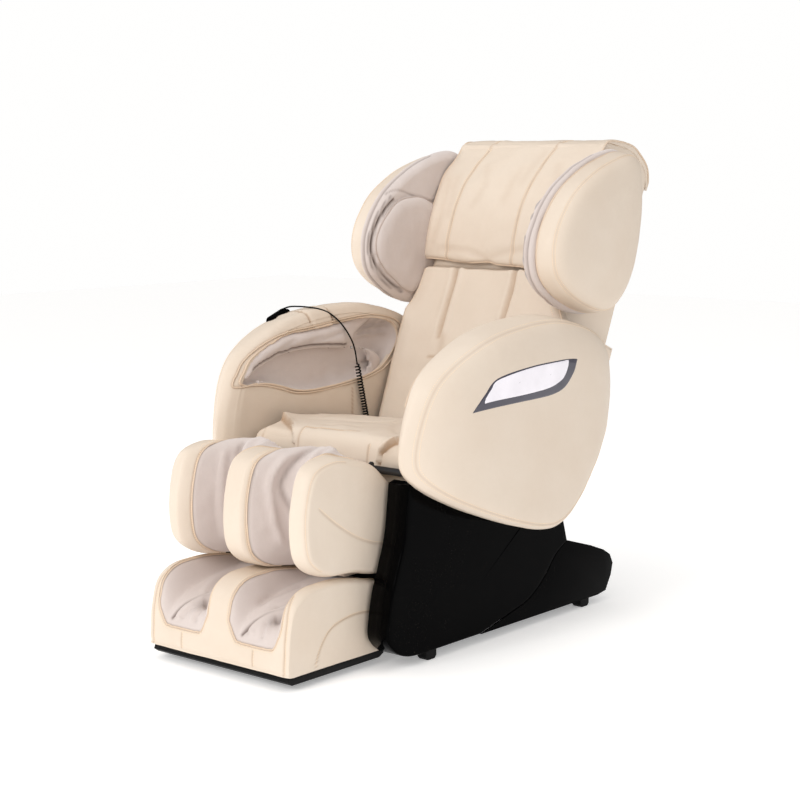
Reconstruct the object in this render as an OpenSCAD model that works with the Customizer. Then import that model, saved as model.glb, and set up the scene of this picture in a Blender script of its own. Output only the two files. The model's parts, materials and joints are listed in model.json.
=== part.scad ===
// Reclining massage chair with calf and foot unit, head wings and wired handset.
// Millimetres. +Z is up, the chair faces -Y, the sitter's left side is +X and the
// origin lies on the floor under the middle of the chair.

/* [Seat] */
// Width of the seat cushion
seat_w = 456; // [448:2:464]
// Height of the seat cushion's top at its front edge
seat_front_z = 456; // [452:1:462]
// Thickness of the seat cushion at its edge
seat_t = 56; // [50:1:57]
// Slope of the seat down to the back, degrees
seat_slope = 5.5; // [4.5:0.5:6.5]
// Place of the seat cushion's front face
seat_front_y = -299; // [-301:1:-296]
// Gap between the seat cushion and each arm
seat_side_gap = 17; // [16:1:20]
// Crown of the seat cushion
seat_crown = 16; // [8:1:20]
// Thickness of the seat pan
pan_t = 12; // [9:1:15]

/* [Base] */
// Distance of the side panel's outer face from the arm's inner face
panel_step = 27; // [25:1:32]
// Wall of the plastic covers
wall = 4; // [3:0.5:5]
// Height of the base over the floor
base_z = 21; // [19:1:23]
// Depth of the side panel's front return
panel_return = 57; // [50:1:60]
// Side of the square tubes in the base frame
rail = 30; // [25:1:32]
// Thickness of the steel side plates
plate_t = 6; // [5:0.5:7]
// Length of a rubber foot
foot_len = 34; // [28:2:40]
// Radius of a transport wheel
wheel_r = 30; // [27:1:31]

/* [Arms] */
// Depth of an arm from its inner face to its belly
arm_depth = 127; // [123:1:135]
// Depth of the forearm recess
recess_depth = 50; // [40:1:52]
// Thickness of the recess lining
lining_t = 6; // [4:1:8]
// Thickness of the leaf-shaped trim
trim_t = 12; // [8:1:14]

/* [Back] */
// Lean of the back from the vertical at rest, degrees
back_lean = 23; // [22:0.5:24]
// Gap between the back at the lumbar and each arm
back_side_gap = 10; // [8:0.5:13]
// Step on each side from the lumbar in to the neck of the back
neck_step = 23; // [23:1:29]
// Thickness of the back pad
pad_t = 42; // [36:1:44]
// Place of the massage carriage along the back at rest
carriage_u = 330; // [300:5:360]
// Distance between the guide rails
rail_gap = 240; // [220:2:250]
// Radius of a guide rail
guide_r = 10; // [8:0.5:12]
// Radius of a massage roller
roller_r = 20; // [16:1:21]
// Width of a massage roller
roller_w = 26; // [20:1:28]
// Radius of a massage roller's pin
pin_r = 5; // [4:0.5:6]

/* [Head] */
// Reach of the head pillow over each side of the back's neck
pillow_over = 3; // [0:0.5:4]
// Thickness of a head wing
wing_t = 103; // [95:1:106]
// Thickness of the fabric pad on a wing's inner side
wing_pad_t = 22; // [18:1:26]

/* [Leg rest] */
// Width of the calf and foot units
leg_w = 406; // [400:2:408]
// Depth of the two calf wells
calf_well = 112; // [95:1:116]
// Height of the foot unit's base plate over the floor
foot_z = 12; // [10:1:14]
// Thickness of the foot unit's base plate
foot_plate_t = 18; // [15:1:20]
// Radius of the foot rollers
foot_roller_r = 16; // [13:1:17]
// Radius of the two slide rods
rod_r = 8; // [6:0.5:9]

/* [Handset] */
// Width of the handset
handset_w = 66; // [60:1:70]
// Length of the handset
handset_l = 165; // [150:1:175]
// Thickness of the handset
handset_t = 18; // [16:1:19]
// Radius of a handset button
button_r = 6; // [5:0.5:7]
// Travel of a handset button
button_travel = 1.2; // [1:0.1:1.2]
// Radius of the handset's cord
cord_r = 1.9; // [1.6:0.1:2]
// Outer radius of the curly part
curl_r = 6; // [5.5:0.1:6]
// Number of curls
curls = 24; // [20:1:28]

/* [Fits] */
// Running clearance of pins and shafts, on the radius
run = 0.06; // [0.03:0.01:0.1]
// Clearance between soft or loose pieces
gap = 0.3; // [0.3:0.05:0.5]

/* [Hidden] */
$fn = 48;

leather = [0.90, 0.83, 0.76];
cloth = [0.74, 0.66, 0.60];
black = [0.05, 0.05, 0.055];
steel = [0.35, 0.36, 0.38];
bright = [0.72, 0.73, 0.75];
soft_white = [0.93, 0.92, 0.93];
grey = [0.30, 0.28, 0.31];
eps = 0.01;

// ---- widths, from the seat outwards
x_seat = seat_w / 2;
x_arm = x_seat + seat_side_gap;
x_panel = x_arm + panel_step;
x_back = x_arm - back_side_gap;
x_neck = x_back - neck_step;
pillow_w = 2 * (x_neck + pillow_over);
x_leg = leg_w / 2;
plate_x = x_arm - gap - plate_t;

// ---- pivots, as [y, z]
leg_pivot = [-318, 402];
back_pivot = [150, 380];
axle_r = 8;
lug_pin_r = 6;
leg_lug = [-345, 345];
leg_act_base = [-30, 150];
back_lug = [220, 385];
back_act_base = [0, 130];
wheel_axis = [350, 40];
wheel_axle_r = 5;

// ---- curves
function clamp(v, lo, hi) = min(max(v, lo), hi);
function ease(t) = let (c = clamp(t, 0, 1)) c * c * (3 - 2 * c);
function mix(a, b, t) = a + (b - a) * t;
function reversed(p) = [for (i = [len(p) - 1:-1:0]) p[i]];
function middle(p) = ([for (v = p) 1] * p) / len(p);
// Closed smooth curve through the points p, with n steps in each span
function closed_curve(p, n) = [for (i = [0:len(p) - 1], k = [0:n - 1])
    let (m = len(p), a = p[(i + m - 1) % m], b = p[i], c = p[(i + 1) % m],
        d = p[(i + 2) % m], t = k / n)
    0.5 * (2 * b + (c - a) * t + (2 * a - 5 * b + 4 * c - d) * t * t
        + (3 * b - a - 3 * c + d) * t * t * t)];
// Open smooth curve through the points p, with n steps in each span
function open_curve(p, n) = concat([for (i = [0:len(p) - 2], k = [0:n - 1])
    let (m = len(p) - 1, a = p[max(i - 1, 0)], b = p[i], c = p[i + 1],
        d = p[min(i + 2, m)], t = k / n)
    0.5 * (2 * b + (c - a) * t + (2 * a - 5 * b + 4 * c - d) * t * t
        + (3 * b - a - 3 * c + d) * t * t * t)], [p[len(p) - 1]]);

// Solid skinned over rings that turn right-handed about the way they are stacked
module skin(rings) {
    n = len(rings[0]);
    m = len(rings);
    points = concat([for (r = rings) each r], [middle(rings[0]), middle(rings[m - 1])]);
    sides = [for (j = [0:m - 2], i = [0:n - 1])
        let (a = j * n + i, b = j * n + (i + 1) % n) each [[a, b + n, b], [a, a + n, b + n]]];
    ends = [for (i = [0:n - 1]) let (k = (i + 1) % n)
        each [[m * n, i, k], [m * n + 1, (m - 1) * n + k, (m - 1) * n + i]]];
    polyhedron(points, concat(sides, ends), convexity = 8);
}

// Extrudes a [y, z] shape along X from x0 to x1
module along_x(x0, x1) {
    translate([x0, 0, 0])
        rotate([90, 0, 90])
            linear_extrude(x1 - x0)
                children();
}
module rod_x(x0, x1, at, r) {
    translate([x0, at[0], at[1]])
        rotate([0, 90, 0])
            cylinder(r = r, h = x1 - x0);
}
module both_sides() {
    children();
    mirror([1, 0, 0])
        children();
}
module block(lo, hi) {
    translate(lo)
        cube(hi - lo);
}
// Square tube between two corners, hollow along the axis named by its index
module tube(lo, hi, axis, t = 2) {
    inset = [for (i = [0:2]) i == axis ? -eps : t];
    difference() {
        block(lo, hi);
        block(lo + inset, hi - inset);
    }
}

// ---- arms: egg outline in [y, z], front, bottom, rear, top
arm_points = [[-385, 452], [-352, 383], [-220, 314], [-30, 254], [78, 258], [190, 331],
    [300, 440], [340, 560], [288, 655], [110, 708], [-60, 706], [-210, 672], [-335, 594]];
arm_outline = closed_curve(arm_points, 3);
arm_middle = [-20, 480];
// Plan taper of the arm towards its nose and its rear end
function arm_taper(y) = let (t = y < 30 ? (30 - y) / 425 : (y - 30) / 352)
    pow(max(1 - pow(min(t, 1), 2.5), 0), 1 / 2.5);
// Slices from the inner face outwards: scale, and share of the depth at the crest and low down
arm_profile = [[0.90, 0, 0], [0.965, 0.05, 0.25], [1, 0.16, 0.80], [0.985, 0.45, 0.93],
    [0.94, 0.72, 0.98], [0.85, 0.88, 1], [0.68, 0.97, 1], [0.38, 1, 1]];
arm_crest_z = 700;
arm_swell_h = 440;
function arm_ring(k, depth) = [for (p = arm_outline)
    let (q = arm_middle + (p - arm_middle) * k[0],
        f = mix(k[1], k[2], clamp((arm_crest_z - q[1]) / arm_swell_h, 0, 1)))
    [x_arm + depth * f * arm_taper(q[0]), q[0], q[1]]];
recess_points = [[-298, 548], [-290, 588], [-248, 614], [-170, 636], [-60, 650], [80, 658],
    [165, 646], [198, 614], [184, 572], [120, 526], [0, 520], [-160, 520], [-262, 524]];
function about(p, c, s) = [for (q = p) c + (q - c) * s];
recess_outline = closed_curve(recess_points, 2);
recess_middle = [-40, 584];
// Leaf trim in [y, z]: the whole leaf, and the edge that parts white from grey
leaf = [[-248, 532], [-214, 568], [-173, 600], [-67, 616], [49, 621], [107, 616], [88, 584],
    [54, 557], [1, 545], [-102, 542]];
leaf_split = [[-248, 532], [-102, 555], [-10, 560], [40, 574], [74, 614], [49, 621],
    [-67, 616], [-173, 600], [-214, 568]];
// Handset slot: the place of the handset's top, the tilt in its own plane
handset_top = [-142, 697];
handset_tilt = 21;
handset_x = x_arm + 55;
pocket_t = 1.2;
arm_bolt_places = [[-230, 372], [-55, 345], [95, 345]];

module arm_dome(depth) {
    skin([for (k = arm_profile) arm_ring(k, depth)]);
}
// Prism through the arm's outer face, kept outside the dome that the trim lies on
module trim_layer(lift) {
    difference() {
        along_x(x_arm + arm_depth / 2, x_arm + arm_depth + 20)
            children();
        arm_dome(arm_depth - trim_t - lift);
    }
}
module arm_body() {
    difference() {
        arm_dome(arm_depth);
        along_x(x_arm - 1, x_arm + recess_depth)
            polygon(recess_outline);
        trim_layer(gap)
            polygon(about(leaf, [-60, 585], 1 + 2 * gap / 60));
        for (b = arm_bolt_places)
            rod_x(x_arm - 1, x_arm + 24, b, bolt_r + gap);
    }
}
bolt_r = 4;
module in_handset() {
    translate([-handset_x, handset_top[0], handset_top[1]])
        rotate([handset_tilt, 0, 0])
            mirror([1, 0, 0])
                children();
}
module arm_left() {
    color(leather) arm_body();
}
module arm_right() {
    color(leather)
        difference() {
            mirror([1, 0, 0])
                arm_body();
            in_handset()
                block([-pocket_t - gap, -handset_w / 2 - pocket_t - gap, -handset_l - gap],
                    [handset_t + 2 + pocket_t, handset_w / 2 + pocket_t + gap, 60]);
        }
}
module arm_linings() {
    color(cloth)
        both_sides()
        difference() {
            along_x(x_arm + gap, x_arm + recess_depth - gap)
                polygon(about(recess_outline, recess_middle, 0.994));
            along_x(x_arm - 1, x_arm + recess_depth - gap - lining_t)
                polygon(about(recess_outline, recess_middle, 1 - 2.2 * lining_t / 110));
        }
}
flap_t = 6;
flap = closed_curve([[-290, 552], [-200, 508], [-110, 488], [-20, 496], [42, 512],
    [36, 522], [-120, 524], [-240, 546]], 3);
module arm_flaps() {
    color(cloth)
        both_sides()
            along_x(x_arm - gap - flap_t, x_arm - gap)
                polygon(flap);
}
module trim_white() {
    color(soft_white)
        both_sides()
            intersection() {
                arm_dome(arm_depth);
                trim_layer(0)
                    polygon(leaf_split);
            }
}
module trim_grey() {
    color(grey)
        both_sides()
            intersection() {
                arm_dome(arm_depth);
                trim_layer(0)
                    difference() {
                        polygon(leaf);
                        for (d = [-0.15, 0, 0.15])
                            translate([d, -d])
                                polygon(leaf_split);
                        // the grey starts a little behind the leaf's tip
                        translate(leaf[0] - [8, 20])
                            square([12, 40]);
                    }
            }
}
module arm_bolts() {
    color(bright)
        both_sides()
            for (b = arm_bolt_places) {
                rod_x(plate_x - 5, plate_x, b, 7.5);
                rod_x(plate_x - eps, x_arm + 20, b, bolt_r);
            }
}

// ---- base
panel_edge = [[-352, 23], [-401, 44], [-429, 80], [-413, 157], [-372, 275], [-359, 384],
    [-330, 410]];
crease = [[-110, base_z], [0, 47], [70, 66], [130, 106], [175, 152], [220, 176]];
panel_shape = concat(reversed(panel_edge), [[-300, base_z]], open_curve(crease, 3),
    [[202, 233], [192, 345]]);
tail_shape = concat(open_curve(crease, 3), [[316, 148], [372, 128], [400, 112], [413, 89],
    [406, 62], [384, 26], [350, base_z]]);
module arm_shadow() {
    polygon(about(arm_outline, arm_middle, 1.006));
}
module panel_side() {
    difference() {
        polygon(panel_shape);
        arm_shadow();
        translate([0.35, -0.35])
            polygon(tail_shape);
    }
}
module base_panel() {
    color(black)
        difference() {
            along_x(x_panel - panel_return, x_panel)
                panel_side();
            along_x(x_panel - panel_return - 1, x_panel - wall)
                union() {
                    translate([wall, 0])
                        difference() {
                            polygon(panel_shape);
                            translate([-500, -50])
                                square([1000, base_z + wall + 50]);
                        }
                    translate([-330, base_z + wall])
                        square([700, 500]);
                }
            // the return is left open behind the front edge
            block([x_panel - panel_return - 1, -300, 0], [x_panel - wall, 500, 500]);
        }
}
module base_panel_left() {
    base_panel();
}
module base_panel_right() {
    mirror([1, 0, 0])
        base_panel();
}
inlet_x = -118;
inlet_z = [48, 86];
inlet_w = 64;
module tail_cover() {
    color(black)
        difference() {
            along_x(-x_panel, x_panel)
                translate([0.3, -0.3])
                    difference() {
                        polygon(tail_shape);
                        translate([-200, -0.3 - base_z])
                            square([700, 2 * base_z + 0.3]);
                    }
            along_x(-x_panel + wall, x_panel - wall)
                union() {
                    translate([-wall, -wall])
                        polygon(tail_shape);
                    translate([-wall - 30, -wall - 4])
                        polygon(tail_shape);
                    translate([-wall, -wall - 30])
                        polygon(tail_shape);
                }
            // the middle is cut away ahead of the hump
            block([-x_panel + wall, -200, 0], [x_panel - wall, 222, 300]);
            block([inlet_x - inlet_w / 2, 370, inlet_z[0]], [inlet_x + inlet_w / 2, 430, inlet_z[1]]);
        }
}
module front_cover() {
    color(black)
        difference() {
            block([-plate_x + gap, upright_y[0] - gap - wall, rail_z() + rail + gap],
                [plate_x - gap, upright_y[0] - gap, 338]);
            block([-40, -300, 120], [40, -200, 360]);
        }
}
cross_y = [-275, 305];
cross_t = 25;
rail_x = plate_x - rail;
upright_y = [-262, 60];
upright_top = [335, 300];
tray_t = 2;
function rail_z() = base_z + cross_t;
module base_frame() {
    color(steel) {
        for (y = cross_y)
            tube([-x_panel + wall + gap, y - cross_t / 2, base_z],
                [x_panel - wall - gap, y + cross_t / 2, rail_z()], 0);
        // floor tray between the cross tubes
        block([-rail_x - eps, cross_y[0] + 6, rail_z() - eps],
            [rail_x + eps, cross_y[1] + 10, rail_z() + tray_t]);
        both_sides() {
            tube([rail_x, -348, rail_z()], [plate_x, 372, rail_z() + rail], 1);
            for (i = [0, 1])
                tube([rail_x, upright_y[i], rail_z() + rail],
                    [plate_x, upright_y[i] + rail, upright_top[i]], 2);
            difference() {
                block([rail_x, wheel_axis[0] - 14, wheel_axis[1] - 14],
                    [rail_x + 5, wheel_axis[0] + 14, rail_z()]);
                rod_x(rail_x - 1, rail_x + 6, wheel_axis, wheel_axle_r + run);
            }
        }
        // cross tubes that carry the two actuators, with their ears
        actuator_bridge(back_act_base);
        actuator_bridge(leg_act_base);
    }
}
ear_t = 5;
ear_in = 11;
module actuator_bridge(at) {
    tube([-rail_x, at[0] - 12, at[1] - 42], [rail_x, at[0] + 12, at[1] - 18], 0);
    both_sides() {
        difference() {
            block([ear_in, at[0] - 12, at[1] - 18], [ear_in + ear_t, at[0] + 12, at[1] + 12]);
            rod_x(ear_in - 1, ear_in + ear_t + 1, at, lug_pin_r + run);
        }
        block([rail_x - 5, at[0] - 12, rail_z() + rail], [rail_x, at[0] + 12, at[1] - 42]);
        block([rail_x - 5, at[0] - 12, rail_z() + rail - 8], [rail_x, at[0] + 12, rail_z() + rail]);
    }
}
module plate_outline() {
    translate(leg_pivot)
        circle(16);
    translate(back_pivot)
        circle(22);
    polygon([leg_pivot + [-8, -13.8], leg_pivot + [0, 16], leg_pivot + [40, -14],
        [60, 384], back_pivot + [0, 22], back_pivot + [19, -11], [120, 290], [40, 270],
        [-200, 300], [-270, 340]]);
}
module side_plates() {
    color(steel)
        both_sides()
            difference() {
                along_x(plate_x, plate_x + plate_t)
                    plate_outline();
                rod_x(plate_x - 1, plate_x + plate_t + 1, leg_pivot, axle_r + run);
                rod_x(plate_x - 1, plate_x + plate_t + 1, back_pivot, axle_r + run);
                for (b = arm_bolt_places)
                    rod_x(plate_x - 1, plate_x + plate_t + 1, b, bolt_r + run);
            }
}
// The seat's own frame, tilted with the seat and set under the cushion's front edge
seat_len = 388;
module in_seat() {
    translate([0, seat_front_y, seat_front_z])
        rotate([-seat_slope, 0, 0])
            children();
}
module seat_frame() {
    color(steel)
        in_seat()
            for (y = [28, 200, 350])
                tube([-plate_x, y - 12, -seat_t - pan_t - 24], [plate_x, y + 12, -seat_t - pan_t], 0);
}
module seat_pan() {
    color([0.62, 0.50, 0.36])
        in_seat()
            block([-x_seat + 6, 4, -seat_t - pan_t], [x_seat - 6, seat_len - 8, -seat_t]);
}
// Cushion between a flat back and a crowned face: s runs across, t along
module cushion(nx, ny, face, back) {
    top = [for (j = [0:ny], i = [0:nx]) face(i / nx, j / ny)];
    low = [for (j = [0:ny], i = [0:nx]) back(i / nx, j / ny)];
    m = (nx + 1) * (ny + 1);
    rim = concat([for (i = [0:nx - 1]) i], [for (j = [0:ny - 1]) j * (nx + 1) + nx],
        [for (i = [nx:-1:1]) ny * (nx + 1) + i], [for (j = [ny:-1:1]) j * (nx + 1)]);
    upper = [for (j = [0:ny - 1], i = [0:nx - 1])
        let (a = j * (nx + 1) + i, b = a + 1, c = a + nx + 1, d = c + 1)
        each [[a, d, b], [a, c, d]]];
    lower = [for (f = upper) [f[0] + m, f[2] + m, f[1] + m]];
    edge = [for (k = [0:len(rim) - 1]) let (a = rim[k], b = rim[(k + 1) % len(rim)])
        each [[a, b, b + m], [a, b + m, a + m]]];
    polyhedron(concat(top, low), concat(upper, lower, edge), convexity = 6);
}
function spread(s, n = 1.35) = sign(s - 0.5) * (1 - pow(1 - abs(2 * s - 1), n)) / 2 + 0.5;
seat_face = function (s, t)
    let (x = mix(-x_seat, x_seat, spread(s)), y = mix(0, seat_len, spread(t)),
        e = min(x_seat - abs(x), y, seat_len - y) / 34,
        r = sqrt(max(1 - pow(1 - clamp(e, 0, 1), 2), 0)))
    [x, y, -20 + 20 * r + seat_crown * cos(82 * x / x_seat) * sin(180 * clamp(y / seat_len, 0, 1))];
seat_back = function (s, t)
    [mix(-x_seat, x_seat, spread(s)) * 0.985, mix(3, seat_len - 3, spread(t)), -seat_t];
module seat_cushion() {
    color(leather)
        in_seat()
            cushion(14, 12, seat_face, seat_back);
}
module rubber_feet() {
    color(black)
        both_sides()
            for (y = [cross_y[0], cross_y[1]])
                along_x(x_panel - 31, x_panel - 7)
                    polygon([[y - foot_len / 2, base_z], [y - foot_len / 2, 6],
                        [y - foot_len / 2 + 6, 0], [y + foot_len / 2 - 6, 0],
                        [y + foot_len / 2, 6], [y + foot_len / 2, base_z]]);
}
module wheel_axle() {
    color(bright)
        rod_x(-rail_x - 5, rail_x + 5, wheel_axis, wheel_axle_r);
}
wheel_w = 22;
module wheel() {
    color(black)
        difference() {
            rod_x(rail_x - 3 - wheel_w, rail_x - 3, wheel_axis, wheel_r);
            rod_x(rail_x - 4 - wheel_w, rail_x - 2, wheel_axis, wheel_axle_r + run);
        }
}
module wheel_left() {
    wheel();
}
module wheel_right() {
    mirror([1, 0, 0])
        wheel();
}
module control_box() {
    color([0.16, 0.17, 0.18]) {
        block([60, 60, rail_z() + 2], [190, 240, rail_z() + 60]);
        for (i = [0:4])
            block([70 + i * 24, 56, rail_z() + 10], [86 + i * 24, 60, rail_z() + 22]);
    }
}
module air_pump() {
    color([0.25, 0.27, 0.30]) {
        block([-190, 50, rail_z() + 2], [-70, 200, rail_z() + 70]);
        for (i = [0:5])
            translate([-178 + i * 20, 50, rail_z() + 40])
                rotate([90, 0, 0])
                    cylinder(r = 4, h = 16);
    }
}
rocker_at = [400, 67];
module inlet_module() {
    color([0.09, 0.09, 0.10])
        difference() {
            union() {
                block([inlet_x - inlet_w / 2 + gap, 366, inlet_z[0] + gap],
                    [inlet_x + inlet_w / 2 - gap, 414, inlet_z[1] - gap]);
                // legs that stand on the frame's rear end
                block([inlet_x - 20, 325, rail_z() + 2], [inlet_x + 20, 366 + eps, rail_z() + 8]);
                block([inlet_x - 20, 300, rail_z() + 2], [inlet_x + 20, 326, rail_z() + 8]);
            }
            // socket recess with its three blades left standing
            difference() {
                block([inlet_x - 24, 392, 56], [inlet_x + 6, 420, 78]);
                for (d = [-8, 0, 8])
                    block([inlet_x - 10 + d, 380, 64 + (d == 0 ? 5 : 0)],
                        [inlet_x - 8 + d, 408, 70 + (d == 0 ? 5 : 0)]);
            }
            block([inlet_x + 12, 388, 56], [inlet_x + 26, 420, 78]);
            rod_x(inlet_x + 10, inlet_x + 28, rocker_at, 2 + run);
        }
}
module rocker_switch() {
    color([0.6, 0.05, 0.04]) {
        along_x(inlet_x + 12.5, inlet_x + 25.5)
            difference() {
                translate(rocker_at)
                    circle(9);
                translate(rocker_at + [12, 4.5])
                    rotate(12)
                        square(16, center = true);
                translate(rocker_at + [13, -5])
                    rotate(-4)
                        square(16, center = true);
            }
        rod_x(inlet_x + 10.5, inlet_x + 27.5, rocker_at, 2);
    }
}

// ---- back, in its own frame: x across, n rearwards, u up along the back
module in_back() {
    translate([0, back_pivot[0], back_pivot[1]])
        rotate([-back_lean, 0, 0])
            children();
}
function back_local(p) = let (d = p - back_pivot)
    [d[0] * cos(back_lean) - d[1] * sin(back_lean), d[0] * sin(back_lean) + d[1] * cos(back_lean)];
pad_rear = -8;
pad_front = pad_rear - pad_t;
shoulder_u = 322;
cover_rear = 187;
cover_shape = [[pad_rear, 26], [40, 22], [140, 12], [168, 60], [184, 180], [cover_rear, 420],
    [cover_rear, 640], [193, 740], [181, 772], [150, 788], [104, 795], [40, 782],
    [pad_rear, 764]];
module rounded_plan(half, n0, n1, r) {
    translate([-half, n0])
        square([2 * half, n1 - n0 - r]);
    translate([-half + r, n0])
        square([2 * (half - r), n1 - n0]);
    for (s = [-1, 1])
        translate([s * (half - r), n1 - r])
            circle(r);
}
module back_block(half, t) {
    intersection() {
        along_x(-half + t, half - t)
            union() {
                polygon([for (p = cover_shape) [p[0] - t, p[1] - t]]);
                if (t > 0)
                    polygon([for (p = cover_shape) [p[0] - t, p[1] - 5 * t]]);
            }
        linear_extrude(1000)
            rounded_plan(half - t, -100, 194 - t, 60);
    }
}
module back_cover() {
    color(black)
        in_back()
            difference() {
                union() {
                    intersection() {
                        back_block(x_back, 0);
                        block([-300, -100, 0], [300, 300, shoulder_u]);
                    }
                    back_block(x_neck, 0);
                }
                intersection() {
                    back_block(x_back, wall);
                    block([-300, -100, -10], [300, 300, shoulder_u - wall]);
                }
                back_block(x_neck, wall);
                // the pivot, the lower lug and the actuator pass the open lower end
                block([-x_back + wall, -100, -10], [x_back - wall, 140, 60]);
                // windows for the wing brackets
                for (u = wing_bracket_u)
                    block([-300, 30, u - 16], [300, 76, u + 16]);
            }
}
wing_bracket_u = [440, 600];
frame_n = 100;
side_tube = 25;
side_x = x_neck - 40;
cross_u = [62, 700];
module back_frame() {
    color(steel)
        in_back() {
            both_sides() {
                tube([side_x, frame_n - side_tube / 2, 40],
                    [side_x + side_tube, frame_n + side_tube / 2, 745], 2);
                // cheek from the pivot tube up to the side tube
                along_x(side_x, side_x + 6)
                    polygon([[-8, 4], [0, 10], [frame_n - side_tube / 2 + eps, 90],
                        [frame_n - side_tube / 2 + eps, 40], [10, -4]]);
                rod_x(x_back - 3, plate_x + plate_t - 0.5, [0, 0], axle_r);
            }
            rod_x(-x_back + 1, x_back - 1, [0, 0], pivot_tube_r);
            for (u = cross_u)
                difference() {
                    tube([-side_x, frame_n - side_tube / 2 - 14, u - side_tube / 2],
                        [side_x, frame_n + side_tube / 2, u + side_tube / 2], 0);
                    translate([0, guide_n, u - side_tube])
                        cylinder(r = screw_r + run, h = 2 * side_tube);
                }
            // lug for the recline actuator
            lug = back_local(back_lug);
            both_sides()
                lug_plate(lug, back_lug_play)
                    polygon([lug + [-8, 14], [frame_n - 26, 74], [frame_n - 26, 50],
                        lug + [14, -8]]);
        }
}
pivot_tube_r = 13;
back_lug_play = 4;
leg_lug_play = 8.5;
lug_rim = 5;
lug_x = [2.5, 7.5];
// Lug with an oversize eye, because the pin wanders by the given play
module lug_plate(at, play) {
    difference() {
        along_x(lug_x[0], lug_x[1]) {
            translate(at)
                circle(lug_pin_r + play + lug_rim);
            children();
        }
        rod_x(lug_x[0] - 1, lug_x[1] + 1, at, lug_pin_r + play);
    }
}
guide_n = 86;
screw_r = 6;
module guide_rails() {
    color(bright)
        in_back()
            for (s = [-1, 1])
                translate([s * rail_gap / 2, guide_n, cross_u[0] + side_tube / 2])
                    cylinder(r = guide_r, h = cross_u[1] - cross_u[0] - side_tube);
}
module lead_screw() {
    color(bright)
        in_back()
            translate([0, guide_n, cross_u[0] - side_tube / 2])
                cylinder(r = screw_r, h = cross_u[1] - cross_u[0] + side_tube + 4);
}
module screw_motor() {
    color([0.2, 0.2, 0.22])
        in_back() {
            difference() {
                translate([0, guide_n, cross_u[1] + side_tube / 2])
                    cylinder(r = 26, h = 52);
                translate([0, guide_n, cross_u[1] + side_tube / 2 - 1])
                    cylinder(r = screw_r + run, h = 8);
            }
        }
}
car_h = 104;
knead_n = 50;
knead_r = 7;
module carriage() {
    color([0.45, 0.46, 0.48])
        in_back()
            translate([0, 0, carriage_u]) {
                for (s = [-1, 1])
                    difference() {
                        block([-rail_gap / 2 - 22, guide_n - 20, s * car_h / 2 - 10],
                            [rail_gap / 2 + 22, guide_n + 20, s * car_h / 2 + 10]);
                        for (k = [-1, 1])
                            translate([k * rail_gap / 2, guide_n, s * car_h / 2 - 11])
                                cylinder(r = guide_r + run, h = 22);
                        translate([0, guide_n, s * car_h / 2 - 11])
                            cylinder(r = screw_r + run, h = 22);
                    }
                // cheeks joining both blocks, with the kneading shaft between them
                both_sides() {
                    block([92, guide_n - 20, -car_h / 2 + 10], [98, guide_n + 20, car_h / 2 - 10]);
                    block([92, knead_n - 12, -16], [98, guide_n - 20, 16]);
                    block([30, guide_n + 2, -car_h / 2 + 10], [80, guide_n + 38, car_h / 2 - 10]);
                }
                rod_x(-92, 92, [knead_n, 0], knead_r);
            }
}
arm_x = 46;
roller_u = 60;
roller_n = 28;
module kneading_arm() {
    color([0.12, 0.12, 0.13])
        in_back()
            translate([0, 0, carriage_u]) {
                difference() {
                    union() {
                        rod_x(arm_x, arm_x + 22, [knead_n, 0], knead_r + 6);
                        along_x(arm_x, arm_x + 6)
                            polygon([[knead_n + 12, 0], [knead_n + 6, 14],
                                [roller_n + 8, roller_u], [roller_n, roller_u + 9],
                                [roller_n - 8, roller_u], [knead_n - 16, 0],
                                [roller_n - 8, -roller_u], [roller_n, -roller_u - 9],
                                [roller_n + 8, -roller_u], [knead_n + 6, -14]]);
                    }
                    rod_x(arm_x - 1, arm_x + 23, [knead_n, 0], knead_r + run);
                }
                for (s = [-1, 1])
                    rod_x(arm_x + 6 - eps, arm_x + 8 + roller_w, [roller_n, s * roller_u], pin_r);
            }
}
module kneading_arm_left() {
    kneading_arm();
}
module kneading_arm_right() {
    mirror([1, 0, 0])
        kneading_arm();
}
module massage_roller(s) {
    color([0.15, 0.15, 0.16])
        in_back()
            translate([arm_x + 6.5, roller_n, carriage_u + s * roller_u])
                rotate([0, 90, 0])
                    rotate_extrude()
                        polygon([[pin_r + run, 0], [roller_r - 5, 0], [roller_r, 5],
                            [roller_r, roller_w - 5], [roller_r - 5, roller_w],
                            [pin_r + run, roller_w]]);
}
module roller_upper_left() {
    massage_roller(1);
}
module roller_lower_left() {
    massage_roller(-1);
}
module roller_upper_right() {
    mirror([1, 0, 0])
        massage_roller(1);
}
module roller_lower_right() {
    mirror([1, 0, 0])
        massage_roller(-1);
}
// Back pad: wide at the lumbar, narrow behind the head, thinner under the pillow
pad_u = [8, 700];
neck_half = x_neck - 12;
function pad_half(u) = mix(x_back, neck_half, ease((u - shoulder_u + 8) / 26));
function pad_depth(u) = mix(pad_t, 22, ease((u - 422) / 20));
pad_rows = [0, 0.02, 0.06, 0.15, 0.26, 0.38, 0.44, 0.475, 0.53, 0.57, 0.595, 0.63, 0.78, 0.94, 0.98,
    1];
pad_face = function (s, t)
    let (u = mix(pad_u[0], pad_u[1], lookup(t * (len(pad_rows) - 1),
            [for (k = [0:len(pad_rows) - 1]) [k, pad_rows[k]]])),
        half = pad_half(u), x = mix(-half, half, spread(s)),
        e = min(half - abs(x), u - pad_u[0], pad_u[1] - u) / 26,
        r = sqrt(max(1 - pow(1 - clamp(e, 0, 1), 2), 0)),
        groove = 9 * exp(-pow((abs(x) - 70) / 16, 2)) * ease((u - 60) / 60))
    [x, pad_rear - pad_depth(u) + 18 * (1 - r) + groove, u];
pad_back = function (s, t)
    let (p = pad_face(s, t)) [p[0] * 0.985, pad_rear - gap, clamp(p[2], pad_u[0] + 3, pad_u[1] - 3)];
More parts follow.
